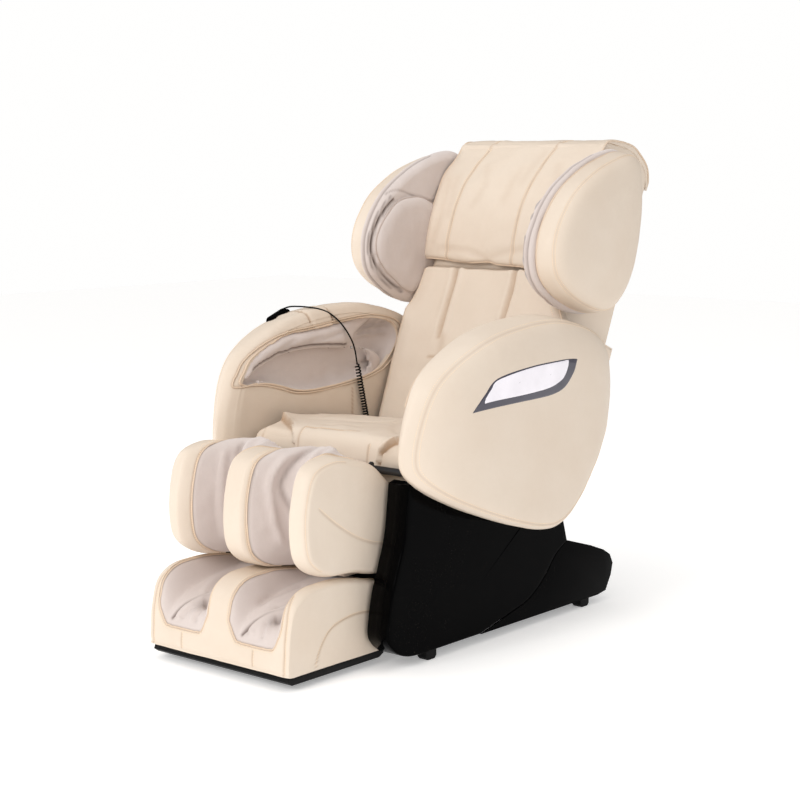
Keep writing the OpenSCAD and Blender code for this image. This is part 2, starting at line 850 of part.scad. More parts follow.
module back_pad() {
    color(leather)
        in_back()
            cushion(20, len(pad_rows) - 1, pad_face, pad_back);
}
// Head pillow: a padded hood over the back's top, between two [n, u] curves that run together
hood_out = open_curve([[-40, 446], [-57, 450], [-68, 490], [-76, 566], [-66, 640], [-48, 690],
    [-26, 735], [0, 776], [36, 798], [72, 810], [112, 816], [150, 809], [184, 795], [204, 770],
    [207, 736]], 2);
hood_in = open_curve([[-31.5, 447.5], [-31.5, 453], [-31.5, 490], [-31.5, 566], [-31.5, 640],
    [-31.5, 688], [-10, 716], [-10.5, 766], [37, 784.5], [70, 792.5], [104, 797.5], [151, 790.5],
    [183, 774.5], [195.5, 744], [195, 735.5]], 2);
hood_bulge = 12.5;
pillow_edge = 22;
function hood_x(s) = mix(-pillow_w / 2, pillow_w / 2, spread(s));
hood_face = function (s, t)
    let (k = round(t * (len(hood_out) - 1)), p = hood_out[k], x = hood_x(s),
        e = clamp((pillow_w / 2 - abs(x)) / pillow_edge, 0, 1),
        q = mix(hood_in[k], p, mix(0.6, 1, sqrt(1 - pow(1 - e, 2)))),
        rear = hood_bulge * cos(180 * x / pillow_w) * ease((p[0] - 100) / 100))
    [x, q[0] + rear, q[1]];
hood_back = function (s, t)
    let (q = hood_in[round(t * (len(hood_in) - 1))])
    [hood_x(s), q[0], q[1]];
module head_pillow() {
    color(leather)
        in_back()
            cushion(10, len(hood_out) - 1, hood_face, hood_back);
}
// Head wings: egg outline in [n, u], front, bottom, rear, top
wing_points = [[-246, 440], [-212, 362], [-130, 332], [-30, 338], [58, 374], [98, 450],
    [98, 545], [74, 645], [30, 735], [-20, 748], [-95, 702], [-165, 635], [-225, 545]];
wing_outline = closed_curve(wing_points, 2);
wing_middle = [-60, 540];
x_wing = x_neck + 10;
wing_profile = [[0, 0.90], [0.10, 0.97], [0.21, 0.985], [0.24, 0.985], [0.42, 1], [0.66, 0.985], [0.82, 0.93],
    [0.93, 0.80], [1, 0.50]];
function wing_ring(f, s) = [for (p = wing_outline)
    let (q = wing_middle + (p - wing_middle) * s) [x_wing + wing_t * f, q[0], q[1]]];
module wing_rings(first, last) {
    in_back()
        skin([for (k = [first:last]) wing_ring(wing_profile[k][0], wing_profile[k][1])]);
}
module wing_outer() {
    color(leather)
        intersection() {
            wing_rings(1, len(wing_profile) - 1);
            block([x_wing + wing_pad_t + gap, -1000, 0], [1000, 1000, 2000]);
        }
}
module wing_pads() {
    color(cloth)
        both_sides()
        intersection() {
            wing_rings(0, 4);
            block([0, -1000, 0], [x_wing + wing_pad_t, 1000, 2000]);
        }
}
module wing_left() {
    wing_outer();
}
module wing_right() {
    mirror([1, 0, 0])
        wing_outer();
}
module wing_brackets() {
    color(black)
        in_back()
            both_sides()
                for (u = wing_bracket_u) {
                    block([side_x + side_tube - 3, frame_n - side_tube / 2 - 40, u - 14],
                        [side_x + side_tube + 1, frame_n - side_tube / 2, u + 14]);
                    block([side_x + side_tube + 1 - eps, 34, u - 14], [x_wing - gap, 72, u + 14]);
                }
}

// ---- leg rest
// Side outline in [y, z]: rear bottom, bottom, front, top
calf_points = [[-352, 189], [-440, 204], [-527, 211], [-584, 243], [-602, 294], [-598, 372],
    [-572, 436], [-510, 455], [-455, 447], [-387, 430], [-342, 396], [-306, 352],
    [-312, 296], [-334, 228]];
calf_outline = closed_curve(calf_points, 2);
// Share of the well's depth at x: zero on the three lobes, one in the two wells
function well(x, inner, outer, soft) = ease((abs(x) - inner) / soft)
    * ease((outer - abs(x)) / soft);
lobe_round = 26;
function lobe(x, half) = let (e = clamp((half - abs(x)) / lobe_round, 0, 1))
    sqrt(1 - pow(1 - e, 2));
calf_x = [-1, -0.985, -0.94, -0.87, -0.80, -0.70, -0.60, -0.50, -0.40, -0.29, -0.19, -0.12, -0.05];
function mirrored(p) = concat(p, [for (v = reversed(p)) -v]);
calf_middle = [-450, 320];
function calf_ring(x) = let (w = calf_well * well(x, 22, x_leg - 36, 62),
        s = mix(0.90, 1, lobe(x, x_leg)))
    [for (p = calf_outline) let (q = calf_middle + (p - calf_middle) * s)
        [x, q[0] + w * ease((-340 - q[0]) / 230), q[1]]];
module calf_cushion() {
    color(leather)
        difference() {
            skin([for (f = mirrored(calf_x)) calf_ring(f * x_leg)]);
            // room for the frame and its rods behind the foam
            along_x(-cavity_x, cavity_x)
                polygon([[cavity_y, 100], [cavity_y, 345], [-395, 371], [-250, 371], [-250, 100]]);
            // ways for the two ears and for the actuator's fork
            for (x = [-ear_x - 4, 0, ear_x + 4])
                along_x(x - (x == 0 ? 22 : 6), x + (x == 0 ? 22 : 6))
                    polygon([[-376, 365], [-366, 392], [-344, 420], [-250, 470], [-250, 365]]);
        }
}
cavity_x = 150;
cavity_y = -420;
ear_x = 132;
rod_x_at = 17;
rod_y = -390;
module leg_frame() {
    color(steel) {
        // pivot shaft across the chair
        rod_x(-plate_x - plate_t + 0.5, plate_x + plate_t - 0.5, leg_pivot, axle_r);
        both_sides() {
            along_x(ear_x, ear_x + 7)
                polygon([leg_pivot + [-12, 9], leg_pivot + [0, 15], leg_pivot + [13, 4],
                    leg_pivot + [13, -8], [-345, 340], [-352, 205], [-378, 205], [-378, 360]]);
        }
        // guide block of the two slide rods, hung from the cross tube
        difference() {
            union() {
                block([-34, rod_y - 16, 205], [34, rod_y + 20, 265]);
                both_sides()
                    block([28, -377, 265 - eps], [34, rod_y + 20, 300 + eps]);
            }
            for (s = [-1, 1])
                translate([s * rod_x_at, rod_y, 200])
                    cylinder(r = rod_r + run, h = 70);
        }
        tube([-ear_x - eps, -378, 300], [ear_x + eps, -354, 324], 0);
        // tabs that the calf cushion's board is screwed to
        both_sides()
            block([88, cavity_y + gap, 302], [112, -378 + eps, 322]);
        both_sides()
            lug_plate(leg_lug, leg_lug_play)
                polygon([[-378, 324 - eps], [-355, 324 - eps], leg_lug + [10, -12],
                    leg_lug + [-14, 12]]);
    }
}
foot_points = [[-350, foot_z + foot_plate_t], [-500, foot_z + foot_plate_t],
    [-636, foot_z + foot_plate_t], [-650, foot_z + foot_plate_t + 12], [-649, 78], [-646, 116],
    [-634, 164], [-613, 188], [-584, 200], [-545, 203], [-500, 203], [-455, 197], [-400, 186],
    [-362, 177], [-352, 160], [-348, 90]];
well_floor = [[-350, foot_z + foot_plate_t], [-500, foot_z + foot_plate_t],
    [-636, foot_z + foot_plate_t], [-650, foot_z + foot_plate_t + 12], [-649, 70], [-642, 84],
    [-618, 86], [-590, 84], [-560, 82], [-530, 81], [-490, 82], [-450, 92], [-415, 130],
    [-372, 176], [-352, 160], [-348, 90]];
foot_x = [-1, -0.985, -0.95, -0.89, -0.86, -0.82, -0.78, -0.72, -0.62, -0.50, -0.40, -0.31, -0.25,
    -0.20, -0.16, -0.06];
function foot_ring(x) = let (w = well(x, 29, x_leg - 23, 26), e = lobe(x, x_leg))
    [for (k = [0:len(foot_points) - 1])
        let (p = mix(foot_points[k], well_floor[k], w), s = mix(0.93, 1, e),
            c = [-500, foot_z + foot_plate_t])
        [x, c[0] + (p[0] - c[0]) * mix(0.975, 1, e), c[1] + (p[1] - c[1]) * s]];
roller_bay = [[-606, foot_z + foot_plate_t], [-470, 71]];
foot_roller_y = [-580, -510];
foot_roller_z = foot_z + foot_plate_t + 22;
module foot_cushion() {
    color(leather)
        difference() {
            skin([for (f = mirrored(foot_x)) foot_ring(f * x_leg)]);
            block([-172, roller_bay[0][0], 0], [172, roller_bay[1][0], roller_bay[1][1]]);
            both_sides()
                translate([rod_x_at, rod_y, 0])
                    cylinder(r = rod_r + gap, h = 300);
        }
}
module foot_plate() {
    color(black) {
        along_x(-x_leg + 6, x_leg - 6)
            polygon([[-640, foot_z + foot_plate_t - gap], [-644, foot_z + 8], [-632, foot_z],
                [-366, foot_z], [-350, foot_z + 8], [-350, foot_z + foot_plate_t - gap]]);
        // bearing cheeks of the rollers
        for (s = [-1, 1])
            difference() {
                block([s * 166 - 4, roller_bay[0][0] + 4, foot_z + foot_plate_t - gap - eps],
                    [s * 166 + 4, roller_bay[1][0] - 4, foot_roller_z + 12]);
                for (y = foot_roller_y)
                    rod_x(s * 166 - 5, s * 166 + 5, [y, foot_roller_z], 5 + run);
            }
    }
}
module slide_rods() {
    color(bright)
        for (s = [-1, 1])
            translate([s * rod_x_at, rod_y, foot_z + foot_plate_t - gap])
                cylinder(r = rod_r, h = 362 - foot_z - foot_plate_t);
}
module foot_roller(y) {
    color([0.18, 0.18, 0.2]) {
        rod_x(-170, 170, [y, foot_roller_z], 5);
        both_sides()
            for (i = [0:4])
                rod_x(42 + i * 24, 60 + i * 24, [y, foot_roller_z], foot_roller_r);
    }
}
module foot_roller_front() {
    foot_roller(foot_roller_y[0]);
}
module foot_roller_rear() {
    foot_roller(foot_roller_y[1]);
}

// ---- actuators: a tube on the base and a rod that pushes a lug
function span(a, b) = norm(b - a);
function heading(a, b) = atan2(b[1] - a[1], b[0] - a[0]);
// Places children with X along the actuator from its base pin
module on_actuator(a, b) {
    translate([0, a[0], a[1]])
        rotate([heading(a, b), 0, 0])
            rotate([0, 0, 90])
                children();
}
tube_r = 16;
act_rod_r = 9;
act_eye_r = 12;
act_neck = 24;
module actuator_tube(a, b, tube_len) {
    color([0.22, 0.22, 0.24]) {
        on_actuator(a, b) {
            difference() {
                translate([act_neck, 0, 0])
                    rotate([0, 90, 0])
                        cylinder(r = tube_r, h = tube_len - act_neck);
                translate([act_neck + wall, 0, 0])
                    rotate([0, 90, 0])
                        cylinder(r = act_rod_r + run, h = tube_len);
            }
            translate([act_eye_r - 2, 0, 0])
                rotate([0, 90, 0])
                    cylinder(r = act_eye_r - 3, h = act_neck - act_eye_r + 3);
        }
        difference() {
            rod_x(-ear_in + 1, ear_in - 1, a, act_eye_r);
            rod_x(-ear_in - 1, ear_in + 1, a, lug_pin_r - eps);
        }
        rod_x(-ear_in - ear_t - 2, ear_in + ear_t + 2, a, lug_pin_r);
    }
}
fork_x = [8.5, 13];
fork_back = 36;
module actuator_rod(a, b, start) {
    reach = span(a, b);
    color(bright) {
        on_actuator(a, b) {
            translate([start, 0, 0])
                rotate([0, 90, 0])
                    cylinder(r = act_rod_r, h = reach - fork_back - start + 1);
            // fork either side of the lug
            block([reach - fork_back, -fork_x[1], -act_rod_r],
                [reach - fork_back + 6, fork_x[1], act_rod_r]);
            for (s = [-1, 1])
                block([reach - fork_back + 6 - eps, s < 0 ? -fork_x[1] : fork_x[0], -act_rod_r],
                    [reach + 9, s < 0 ? -fork_x[0] : fork_x[1], act_rod_r]);
        }
        // pin through the lug's eye
        rod_x(-fork_x[1], fork_x[1], b, lug_pin_r);
    }
}
back_tube_len = 210;
leg_tube_len = 250;
module actuator_tube_back() {
    actuator_tube(back_act_base, back_lug, back_tube_len);
}
module actuator_rod_back() {
    actuator_rod(back_act_base, back_lug, 110);
}
module actuator_tube_leg() {
    actuator_tube(leg_act_base, leg_lug, leg_tube_len);
}
module actuator_rod_leg() {
    actuator_rod(leg_act_base, leg_lug, 150);
}

// ---- handset in its pocket, in its own frame: x thickness, y width, z along
module handset() {
    color(black)
        in_handset() {
            difference() {
                rounded_bar(handset_w, handset_l);
                for (b = button_places)
                    translate([handset_t - button_deep, b[0], b[1]])
                        rotate([0, 90, 0])
                            cylinder(r = button_r + 0.2, h = button_deep + 1);
            }
            // strain relief of the cord
            relief();
        }
}
relief_at = [handset_t / 2, 4, -6.5];
relief_lean = 62;
relief_len = 16;
module relief() {
    translate(relief_at)
        rotate([-relief_lean, 0, 0])
            cylinder(r1 = 5.5, r2 = 3, h = relief_len);
}
module rounded_bar(w, l) {
    r = 10;
    rotate([90, 0, 90])
        linear_extrude(handset_t) {
            translate([-w / 2 + r, -l])
                square([w - 2 * r, l]);
            translate([-w / 2, -l + r])
                square([w, l - 2 * r]);
            for (y = [-w / 2 + r, w / 2 - r], z = [-l + r, -r])
                translate([y, z])
                    circle(r);
        }
}
button_places = [[0, -36], [-15, -70], [15, -70]];
module button(at) {
    color([0.55, 0.56, 0.58])
        in_handset()
            translate([handset_t - button_deep + button_travel + 0.1, at[0], at[1]])
                rotate([0, 90, 0])
                    cylinder(r = button_r, h = button_deep - 0.1);
}
button_deep = 3;
module button_power() {
    button(button_places[0]);
}
module button_up() {
    button(button_places[1]);
}
module button_down() {
    button(button_places[2]);
}

// ---- handset cord: hand-laid route from the handset's strain relief to the curly part
relief_end = relief_at + (relief_len + 1) * [0, sin(relief_lean), cos(relief_lean)];
cord_start = [-handset_x - relief_end[0],
    handset_top[0] + relief_end[1] * cos(handset_tilt) - relief_end[2] * sin(handset_tilt),
    handset_top[1] + relief_end[1] * sin(handset_tilt) + relief_end[2] * cos(handset_tilt)];
cord_route = [cord_start, [-305, -112, 709], [-297, -106, 711], [-284, -100, 711.5],
    [-272, -92, 711], [-262, -79, 709], [-253, -60, 705], [-245.5, -34, 695], [-239.5, -6, 675],
    [-236, 18, 650], [-234.5, 38, 622], [-234.5, 48, 600], [-234.5, 52, 585]];
cord_path = open_curve(cord_route, 2);
function unit(v) = v / norm(v);
function tangent(p, i) = unit(p[min(i + 1, len(p) - 1)] - p[max(i - 1, 0)]);
function flat_to(a, d) = unit(a - d * (a * d));
// One side direction for each point, carried along the path without a twist
function sides_of(p) = [for (i = 0, a = flat_to([0, 0, 1], tangent(p, 0)); i < len(p);
    i = i + 1, a = flat_to(a, tangent(p, min(i, len(p) - 1)))) a];
// Rings of a round tube along the points p
function tube_rings(p, r, sides) = let (across = sides_of(p)) [for (i = [0:len(p) - 1])
    let (a = across[i], b = cross(tangent(p, i), a))
    [for (k = [0:sides - 1]) p[i] + r * (a * cos(360 * k / sides) + b * sin(360 * k / sides))]];
coil_top = [-234.5, 55.5, 568];
coil_low = [-234.5, 96, 407];
curl_steps = 8;
coil_axis = unit(coil_low - coil_top);
coil_side = unit(cross(coil_axis, [1, 0, 0]));
coil_r = curl_r - cord_r;
// Curls lie closer towards the lower end
function coil_point(k) = let (t = k / (curls * curl_steps), a = 360 * k / curl_steps,
        grow = clamp(min(k, curls * curl_steps - k) / curl_steps, 0, 1))
    coil_top + (coil_low - coil_top) * (1.18 * t - 0.18 * t * t)
    + coil_r * ease(grow) * (coil_side * cos(a) + cross(coil_axis, coil_side) * sin(a));
coil_turns = [for (k = [0:curls * curl_steps]) coil_point(k)];
coil_gap = min([for (i = [curl_steps:len(coil_turns) - curl_steps - 1], d = [4:curl_steps + 4])
    i + d < len(coil_turns) ? norm(coil_turns[i + d] - coil_turns[i]) : 100]) - 2 * cord_r;
echo(least_gap_between_curls = coil_gap);
coil_end = coil_low + 10 * coil_axis;
module handset_cord() {
    color(black)
        skin(tube_rings(concat(cord_path, coil_turns, [coil_low + 4 * coil_axis, coil_end]),
            cord_r, 6));
}
// Rubber gland that the cord leaves from, held against the side plate
gland_len = 14;
module cord_gland() {
    color(black)
        translate(coil_end + gap * coil_axis)
            rotate([180 + atan2(coil_axis[1], -coil_axis[2]), 0, 0])
                cylinder(r = plate_x + coil_end[0] - gap, h = gland_len);
}

base_frame();
side_plates();
seat_frame();
seat_pan();
seat_cushion();
base_panel_left();
base_panel_right();
tail_cover();
front_cover();
rubber_feet();
wheel_axle();
wheel_left();
wheel_right();
control_box();
air_pump();
inlet_module();
rocker_switch();
arm_left();
arm_right();
arm_linings();
arm_flaps();
trim_white();
trim_grey();
arm_bolts();
back_frame();
guide_rails();
lead_screw();
screw_motor();
back_cover();
back_pad();
head_pillow();
wing_left();
wing_right();
wing_pads();
wing_brackets();
carriage();
kneading_arm_left();
kneading_arm_right();
roller_upper_left();
roller_lower_left();
roller_upper_right();
roller_lower_right();
leg_frame();
calf_cushion();
foot_cushion();
foot_plate();
slide_rods();
foot_roller_front();
foot_roller_rear();
actuator_tube_back();
actuator_rod_back();
actuator_tube_leg();
actuator_rod_leg();
handset();
button_power();
button_up();
button_down();
cord_gland();
handset_cord();
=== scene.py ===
"""Massage chair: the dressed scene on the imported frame. Shapes below are in millimetres."""
import json
import math

import bmesh
import bpy
import numpy as np
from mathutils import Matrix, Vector, noise
from mathutils.bvhtree import BVHTree

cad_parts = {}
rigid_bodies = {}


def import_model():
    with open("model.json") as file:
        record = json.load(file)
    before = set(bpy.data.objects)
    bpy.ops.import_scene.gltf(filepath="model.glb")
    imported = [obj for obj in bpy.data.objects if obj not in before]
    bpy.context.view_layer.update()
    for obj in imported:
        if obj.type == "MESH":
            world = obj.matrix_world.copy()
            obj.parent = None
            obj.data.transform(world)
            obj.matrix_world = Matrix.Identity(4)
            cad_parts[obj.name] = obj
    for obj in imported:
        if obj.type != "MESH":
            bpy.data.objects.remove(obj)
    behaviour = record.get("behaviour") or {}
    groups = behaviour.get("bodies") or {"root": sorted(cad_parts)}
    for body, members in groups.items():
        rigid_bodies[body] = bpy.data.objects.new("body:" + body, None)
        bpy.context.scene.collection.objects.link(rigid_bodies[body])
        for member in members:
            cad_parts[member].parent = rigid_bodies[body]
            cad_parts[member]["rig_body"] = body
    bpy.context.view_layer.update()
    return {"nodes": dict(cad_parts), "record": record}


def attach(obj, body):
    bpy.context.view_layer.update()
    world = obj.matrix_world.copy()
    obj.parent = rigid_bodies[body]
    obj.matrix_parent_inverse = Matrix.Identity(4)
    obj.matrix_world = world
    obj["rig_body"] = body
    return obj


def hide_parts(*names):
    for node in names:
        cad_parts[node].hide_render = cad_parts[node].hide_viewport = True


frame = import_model()


def placed(name, data):
    obj = bpy.data.objects.new(name, data)
    bpy.context.scene.collection.objects.link(obj)
    return obj


# ---- camera
def add_camera():
    data = bpy.data.cameras.new("camera")
    data.lens = 77.67
    data.sensor_width = 36.0
    camera = placed("camera", data)
    camera.location = (2.502, -3.045, 1.039)
    camera.rotation_euler = (math.radians(82.27), 0, math.radians(39.996))
    bpy.context.scene.camera = camera
    bpy.context.scene.view_settings.view_transform = "Standard"


add_camera()


# ---- number helpers
def ease(t):
    t = np.clip(t, 0.0, 1.0)
    return t * t * (3 - 2 * t)


def mix(a, b, t):
    return a + (b - a) * t


def dome(e):
    """Quarter round that rises from 0 to 1 as e does"""
    return np.sqrt(1 - (1 - np.clip(e, 0, 1)) ** 2)


def bell(d, width):
    return np.exp(-((d / width) ** 2))


def packed(count, power):
    """Places from -1 to 1 that lie closer together near the ends"""
    turn = np.linspace(-1, 1, count)
    return np.sign(turn) * (1 - (1 - np.abs(turn)) ** power)


def scaled(outline, middle, share):
    return middle + (outline - middle) * share


def at_x(x, flat):
    """Flat [y, z] places at x"""
    return np.column_stack([np.broadcast_to(x, len(flat)), flat])


def on_row(row, x):
    """The place at x on a row of places that runs across"""
    return [x, np.interp(x, row[:, 0], row[:, 1]), np.interp(x, row[:, 0], row[:, 2])]


def loop(line):
    """A ring of places that ends where it starts"""
    return np.vstack([line, line[:1]])


def spline(points, steps, closed=False):
    """Smooth curve through the points, with steps places in each span"""
    p = np.array(points, float)
    m = len(p)
    t = (np.arange(steps) / steps)[:, None]
    out = []
    for i in range(m if closed else m - 1):
        if closed:
            a, b, c, d = p[(i - 1) % m], p[i], p[(i + 1) % m], p[(i + 2) % m]
        else:
            a, b, c, d = p[max(i - 1, 0)], p[i], p[i + 1], p[min(i + 2, m - 1)]
        out.append(0.5 * (2 * b + (c - a) * t + (2 * a - 5 * b + 4 * c - d) * t**2
                          + (3 * b - a - 3 * c + d) * t**3))
    if not closed:
        out.append(p[-1:])
    return np.vstack(out)


def evenly(points, count, closed=False):
    """The same line in count equal steps"""
    p = np.array(points, float)
    if closed:
        p = loop(p)
    s = np.concatenate([[0], np.cumsum(np.linalg.norm(np.diff(p, axis=0), axis=1))])
    at = np.linspace(0, s[-1], count, endpoint=not closed)
    return np.stack([np.interp(at, s, p[:, k]) for k in range(p.shape[1])], 1)


def smooth(points, count, closed=False):
    return evenly(spline(points, 12, closed), count, closed)


def away(points, line):
    """Distance from each point to a line of points, and how far along it that is, 0 to 1"""
    points = np.asarray(points, float)
    a, b = line[:-1], line[1:]
    seg = b - a
    size = np.maximum((seg**2).sum(1), 1e-12)
    best = np.full(len(points), 1e9)
    along = np.zeros(len(points))
    for k in range(len(seg)):
        t = np.clip(((points - a[k]) @ seg[k]) / size[k], 0, 1)
        d = np.linalg.norm(points - a[k] - t[:, None] * seg[k], axis=1)
        near = d < best
        best[near] = d[near]
        along[near] = (k + t[near]) / len(seg)
    return best, along


def inside(points, outline):
    """Which points lie in a closed flat outline"""
    p = np.asarray(points, float)
    hit = np.zeros(len(p), bool)
    for a, b in zip(outline, np.roll(outline, -1, axis=0)):
        cross = (a[1] > p[:, 1]) != (b[1] > p[:, 1])
        with np.errstate(divide="ignore", invalid="ignore"):
            at = (b[0] - a[0]) * (p[:, 1] - a[1]) / (b[1] - a[1]) + a[0]
        hit ^= cross & (p[:, 0] < at)
    return hit


def order_run(points, keep):
    """The kept run of a closed ring, in order"""
    n = len(points)
    gaps = [i for i in range(n) if keep[i] and not keep[i - 1]]
    if not gaps:
        return points
    best = []
    for i in gaps:
        run = []
        while keep[i % n] and len(run) < n:
            run.append(points[i % n])
            i += 1
        if len(run) > len(best):
            best = run
    return np.array(best)


def cloud(points, size, seed):
    """Smooth random height in -1 to 1 at each point, for lumps of about size"""
    shift = Vector((seed * 13.7, seed * 7.1, seed * 3.3))
    return np.array([noise.fractal(Vector(p) / size + shift, 0.6, 2.0, 2) for p in points])


# ---- meshes
def grid(rows, cols, around=False):
    """Quads over rows of cols points, the columns closed on themselves if around"""
    j, i = np.meshgrid(np.arange(rows - 1), np.arange(cols - (not around)), indexing="ij")
    k = (i + 1) % cols
    return np.stack([j * cols + i, j * cols + k, (j + 1) * cols + k, (j + 1) * cols + i],
                    -1).reshape(-1, 4)


def shut(faces, along, across):
    """Quads of a pad's front rows and its back rows in reverse, with the open edges closed"""
    m = 2 * along
    k = np.arange(along - 1)
    sides = [np.stack([k * across + col, (k + 1) * across + col,
                       (m - 2 - k) * across + col, (m - 1 - k) * across + col], -1)
             for col in (0, across - 1)]
    i = np.arange(across - 1)
    near = np.stack([i, i + 1, (m - 1) * across + i + 1, (m - 1) * across + i], -1)
    return np.vstack([faces, *sides, near])


def normals_of(verts, faces):
    out = np.zeros_like(verts)
    quad = verts[faces]
    cross = np.cross(quad[:, 2] - quad[:, 0], quad[:, 3] - quad[:, 1])
    for k in range(4):
        np.add.at(out, faces[:, k], cross)
    # points that share a place share their normal
    _, where = np.unique(np.round(verts, 3), axis=0, return_inverse=True)
    where = where.ravel()
    total = np.zeros((where.max() + 1, 3))
    np.add.at(total, where, out)
    out = total[where]
    return out / np.maximum(np.linalg.norm(out, axis=1, keepdims=True), 1e-9)


class Form:
    """A surface of quads in millimetres that seams and folds are worked into"""

    def __init__(self, verts, faces, patches=None):
        self.verts = np.asarray(verts, float)
        self.faces = np.asarray(faces)
        self.patches = np.zeros(len(self.faces), int) if patches is None else np.asarray(patches)
        # painted shade at each point, which the finishes darken by
        self.shade = np.zeros(len(self.verts))
        self.normals = normals_of(self.verts, self.faces)
        middle = self.verts.mean(0)
        if ((self.verts - middle) * self.normals).sum() < 0:
            self.faces = self.faces[:, ::-1]
            self.normals = -self.normals

    def tree(self):
        return BVHTree.FromPolygons(self.verts.tolist(), self.faces.tolist())

    def press(self, line, width, depth, shade=0.0):
        """Push the surface in by depth along a line in space, out where depth is negative, and
        paint shade along it
        """
        line = np.asarray(line, float)
        reach = 3 * width
        near = ((self.verts > line.min(0) - reach) & (self.verts < line.max(0) + reach)).all(1)
        if near.any():
            d, along = away(self.verts[near], line)
            ends = np.minimum(along, 1 - along) * max(len(line), 2)
            dip = bell(d, width)
            soft = dip * np.clip(0.35 + ends * 0.3, 0, 1)
            self.verts[near] -= self.normals[near] * (depth * soft)[:, None]
            self.shade[near] = np.maximum(self.shade[near], shade * dip)

    def raise_band(self, line, half, soft, height):
        """Lift a band with clear edges along a line in space"""
        d, _ = away(self.verts, spline(line, 6))
        self.verts += self.normals * (height * ease((half - d) / soft))[:, None]
        self.normals = normals_of(self.verts, self.faces)

    def lumps(self, size, height, seed, where=1):
        """Swell and sink the surface softly, all of it or where it is marked"""
        lift = cloud(self.verts, size, seed) * height * where
        self.verts += self.normals * lift[:, None]

    def on_side(self, side):
        """This form, or its mirror image on the side of negative x"""
        if side > 0:
            return self
        out = Form.__new__(Form)
        out.verts = self.verts * [-1, 1, 1]
        out.faces = self.faces[:, ::-1]
        out.patches = self.patches
        out.shade = self.shade
        out.normals = self.normals * [-1, 1, 1]
        return out


def join(*forms):
    out = Form.__new__(Form)
    base = np.cumsum([0] + [len(f.verts) for f in forms[:-1]])
    out.verts = np.vstack([f.verts for f in forms])
    out.faces = np.vstack([f.faces + b for f, b in zip(forms, base)])
    out.patches = np.concatenate([f.patches for f in forms])
    out.shade = np.concatenate([f.shade for f in forms])
    out.normals = np.vstack([f.normals for f in forms])
    return out


def rings(rows, placing=np.asarray, patches=None):
    """A form of closed rings of places, one after the other"""
    return Form(placing(np.vstack(rows)), grid(len(rows), len(rows[0]), around=True), patches)


def laid_and_up(tree, line, lift=0.0):
    """The line laid on the nearest surface, and the surface's normals there"""
    places, ups = [], []
    for p in line:
        spot, up, _, _ = tree.find_nearest(Vector(p))
        places.append(spot + up * lift)
        ups.append(up)
    return np.array(places), np.array(ups)


def laid(tree, line, lift=0.0):
    return laid_and_up(tree, line, lift)[0]


def cast(tree, line, way):
    """The line thrown along a direction on to the surface; places that miss are left out"""
    spots = [tree.ray_cast(Vector(p), Vector(way))[0] for p in line]
    return np.array([spot for spot in spots if spot is not None])


def cast_x(tree, flat, start):
    """Flat [y, z] places thrown on to the surface from x start, back towards the middle"""
    return cast(tree, at_x(start, flat), (-np.sign(start), 0, 0))


def tube(line, radius, sides, closed=False):
    """Round tube along a line, with closed ends"""
    p = np.asarray(line, float)
    ahead = np.roll(p, -1, 0) if closed else np.vstack([p[1:], p[-1:]])
    behind = np.roll(p, 1, 0) if closed else np.vstack([p[:1], p[:-1]])
    t = ahead - behind
    t /= np.maximum(np.linalg.norm(t, axis=1, keepdims=True), 1e-9)
    side = np.zeros_like(p)
    a = np.array([0.0, 0, 1]) if abs(t[0][2]) < 0.9 else np.array([1.0, 0, 0])
    for i in range(len(p)):
        a = a - t[i] * (a @ t[i])
        a = a / max(np.linalg.norm(a), 1e-9)
        side[i] = a
    other = np.cross(t, side)
    r = np.broadcast_to(np.asarray(radius, float), (len(p),))[:, None, None]
    turn = 2 * np.pi * np.arange(sides) / sides
    ring = (side[:, None, :] * np.cos(turn)[None, :, None]
            + other[:, None, :] * np.sin(turn)[None, :, None])
    verts = (p[:, None, :] + r * ring).reshape(-1, 3)
    i = np.arange(sides)
    j = (i + 1) % sides
    first, last = len(p) * sides, (len(p) - 1) * sides
    if closed:
        ends = [np.stack([last + i, last + j, j, i], -1)]
    else:
        verts = np.vstack([verts, p[:1], p[-1:]])
        ends = [np.stack([np.full(sides, first), j, i, i], -1),
                np.stack([np.full(sides, first + 1), last + i, last + j, last + j], -1)]
    return Form(verts, np.vstack([grid(len(p), sides, around=True), *ends]))


same_place = 2e-5
voxel, slack, pressure, cloth_steps = 0.004, 0.06, 4.0, 20


def mesh_of(form, name):
    """The form as a mesh in metres, its pinched quads as triangles"""
    mesh = bpy.data.meshes.new(name)
    faces = [tuple(dict.fromkeys(f)) for f in form.faces.tolist()]
    keep = [k for k, f in enumerate(faces) if len(f) > 2]
    mesh.from_pydata((form.verts / 1000).tolist(), [], [faces[k] for k in keep])
    mesh.polygons.foreach_set("material_index", form.patches[keep].astype(np.int32))
    return mesh


def merged(mesh, gap, more=None):
    """Join the mesh's points that lie within the gap, and do what more does to it"""
    work = bmesh.new()
    work.from_mesh(mesh)
    bmesh.ops.remove_doubles(work, verts=work.verts, dist=gap)
    if more:
        more(work)
    work.to_mesh(mesh)
    work.free()


def applied(obj):
    """A mesh of the object as its modifiers leave it"""
    return bpy.data.meshes.new_from_object(
        obj.evaluated_get(bpy.context.evaluated_depsgraph_get()))


def close_up(work):
    bmesh.ops.dissolve_degenerate(work, edges=work.edges, dist=1e-6)
    bmesh.ops.recalc_face_normals(work, faces=work.faces)
    for f in work.faces:
        f.smooth = True


def flatten(work):
    bmesh.ops.dissolve_limit(work, angle_limit=math.radians(0.6), verts=work.verts,
                             edges=work.edges)


def piece(name, form, body, finishes, replaces=()):
    """A finished object from a form, riding on its body"""
    mesh = mesh_of(form, name)
    layer = mesh.attributes.new("shade", "FLOAT", "POINT")
    layer.data.foreach_set("value", form.shade.astype(np.float32))
    merged(mesh, same_place, close_up)
    for f in finishes:
        mesh.materials.append(f)
    return settle(placed(name, mesh), body, replaces)


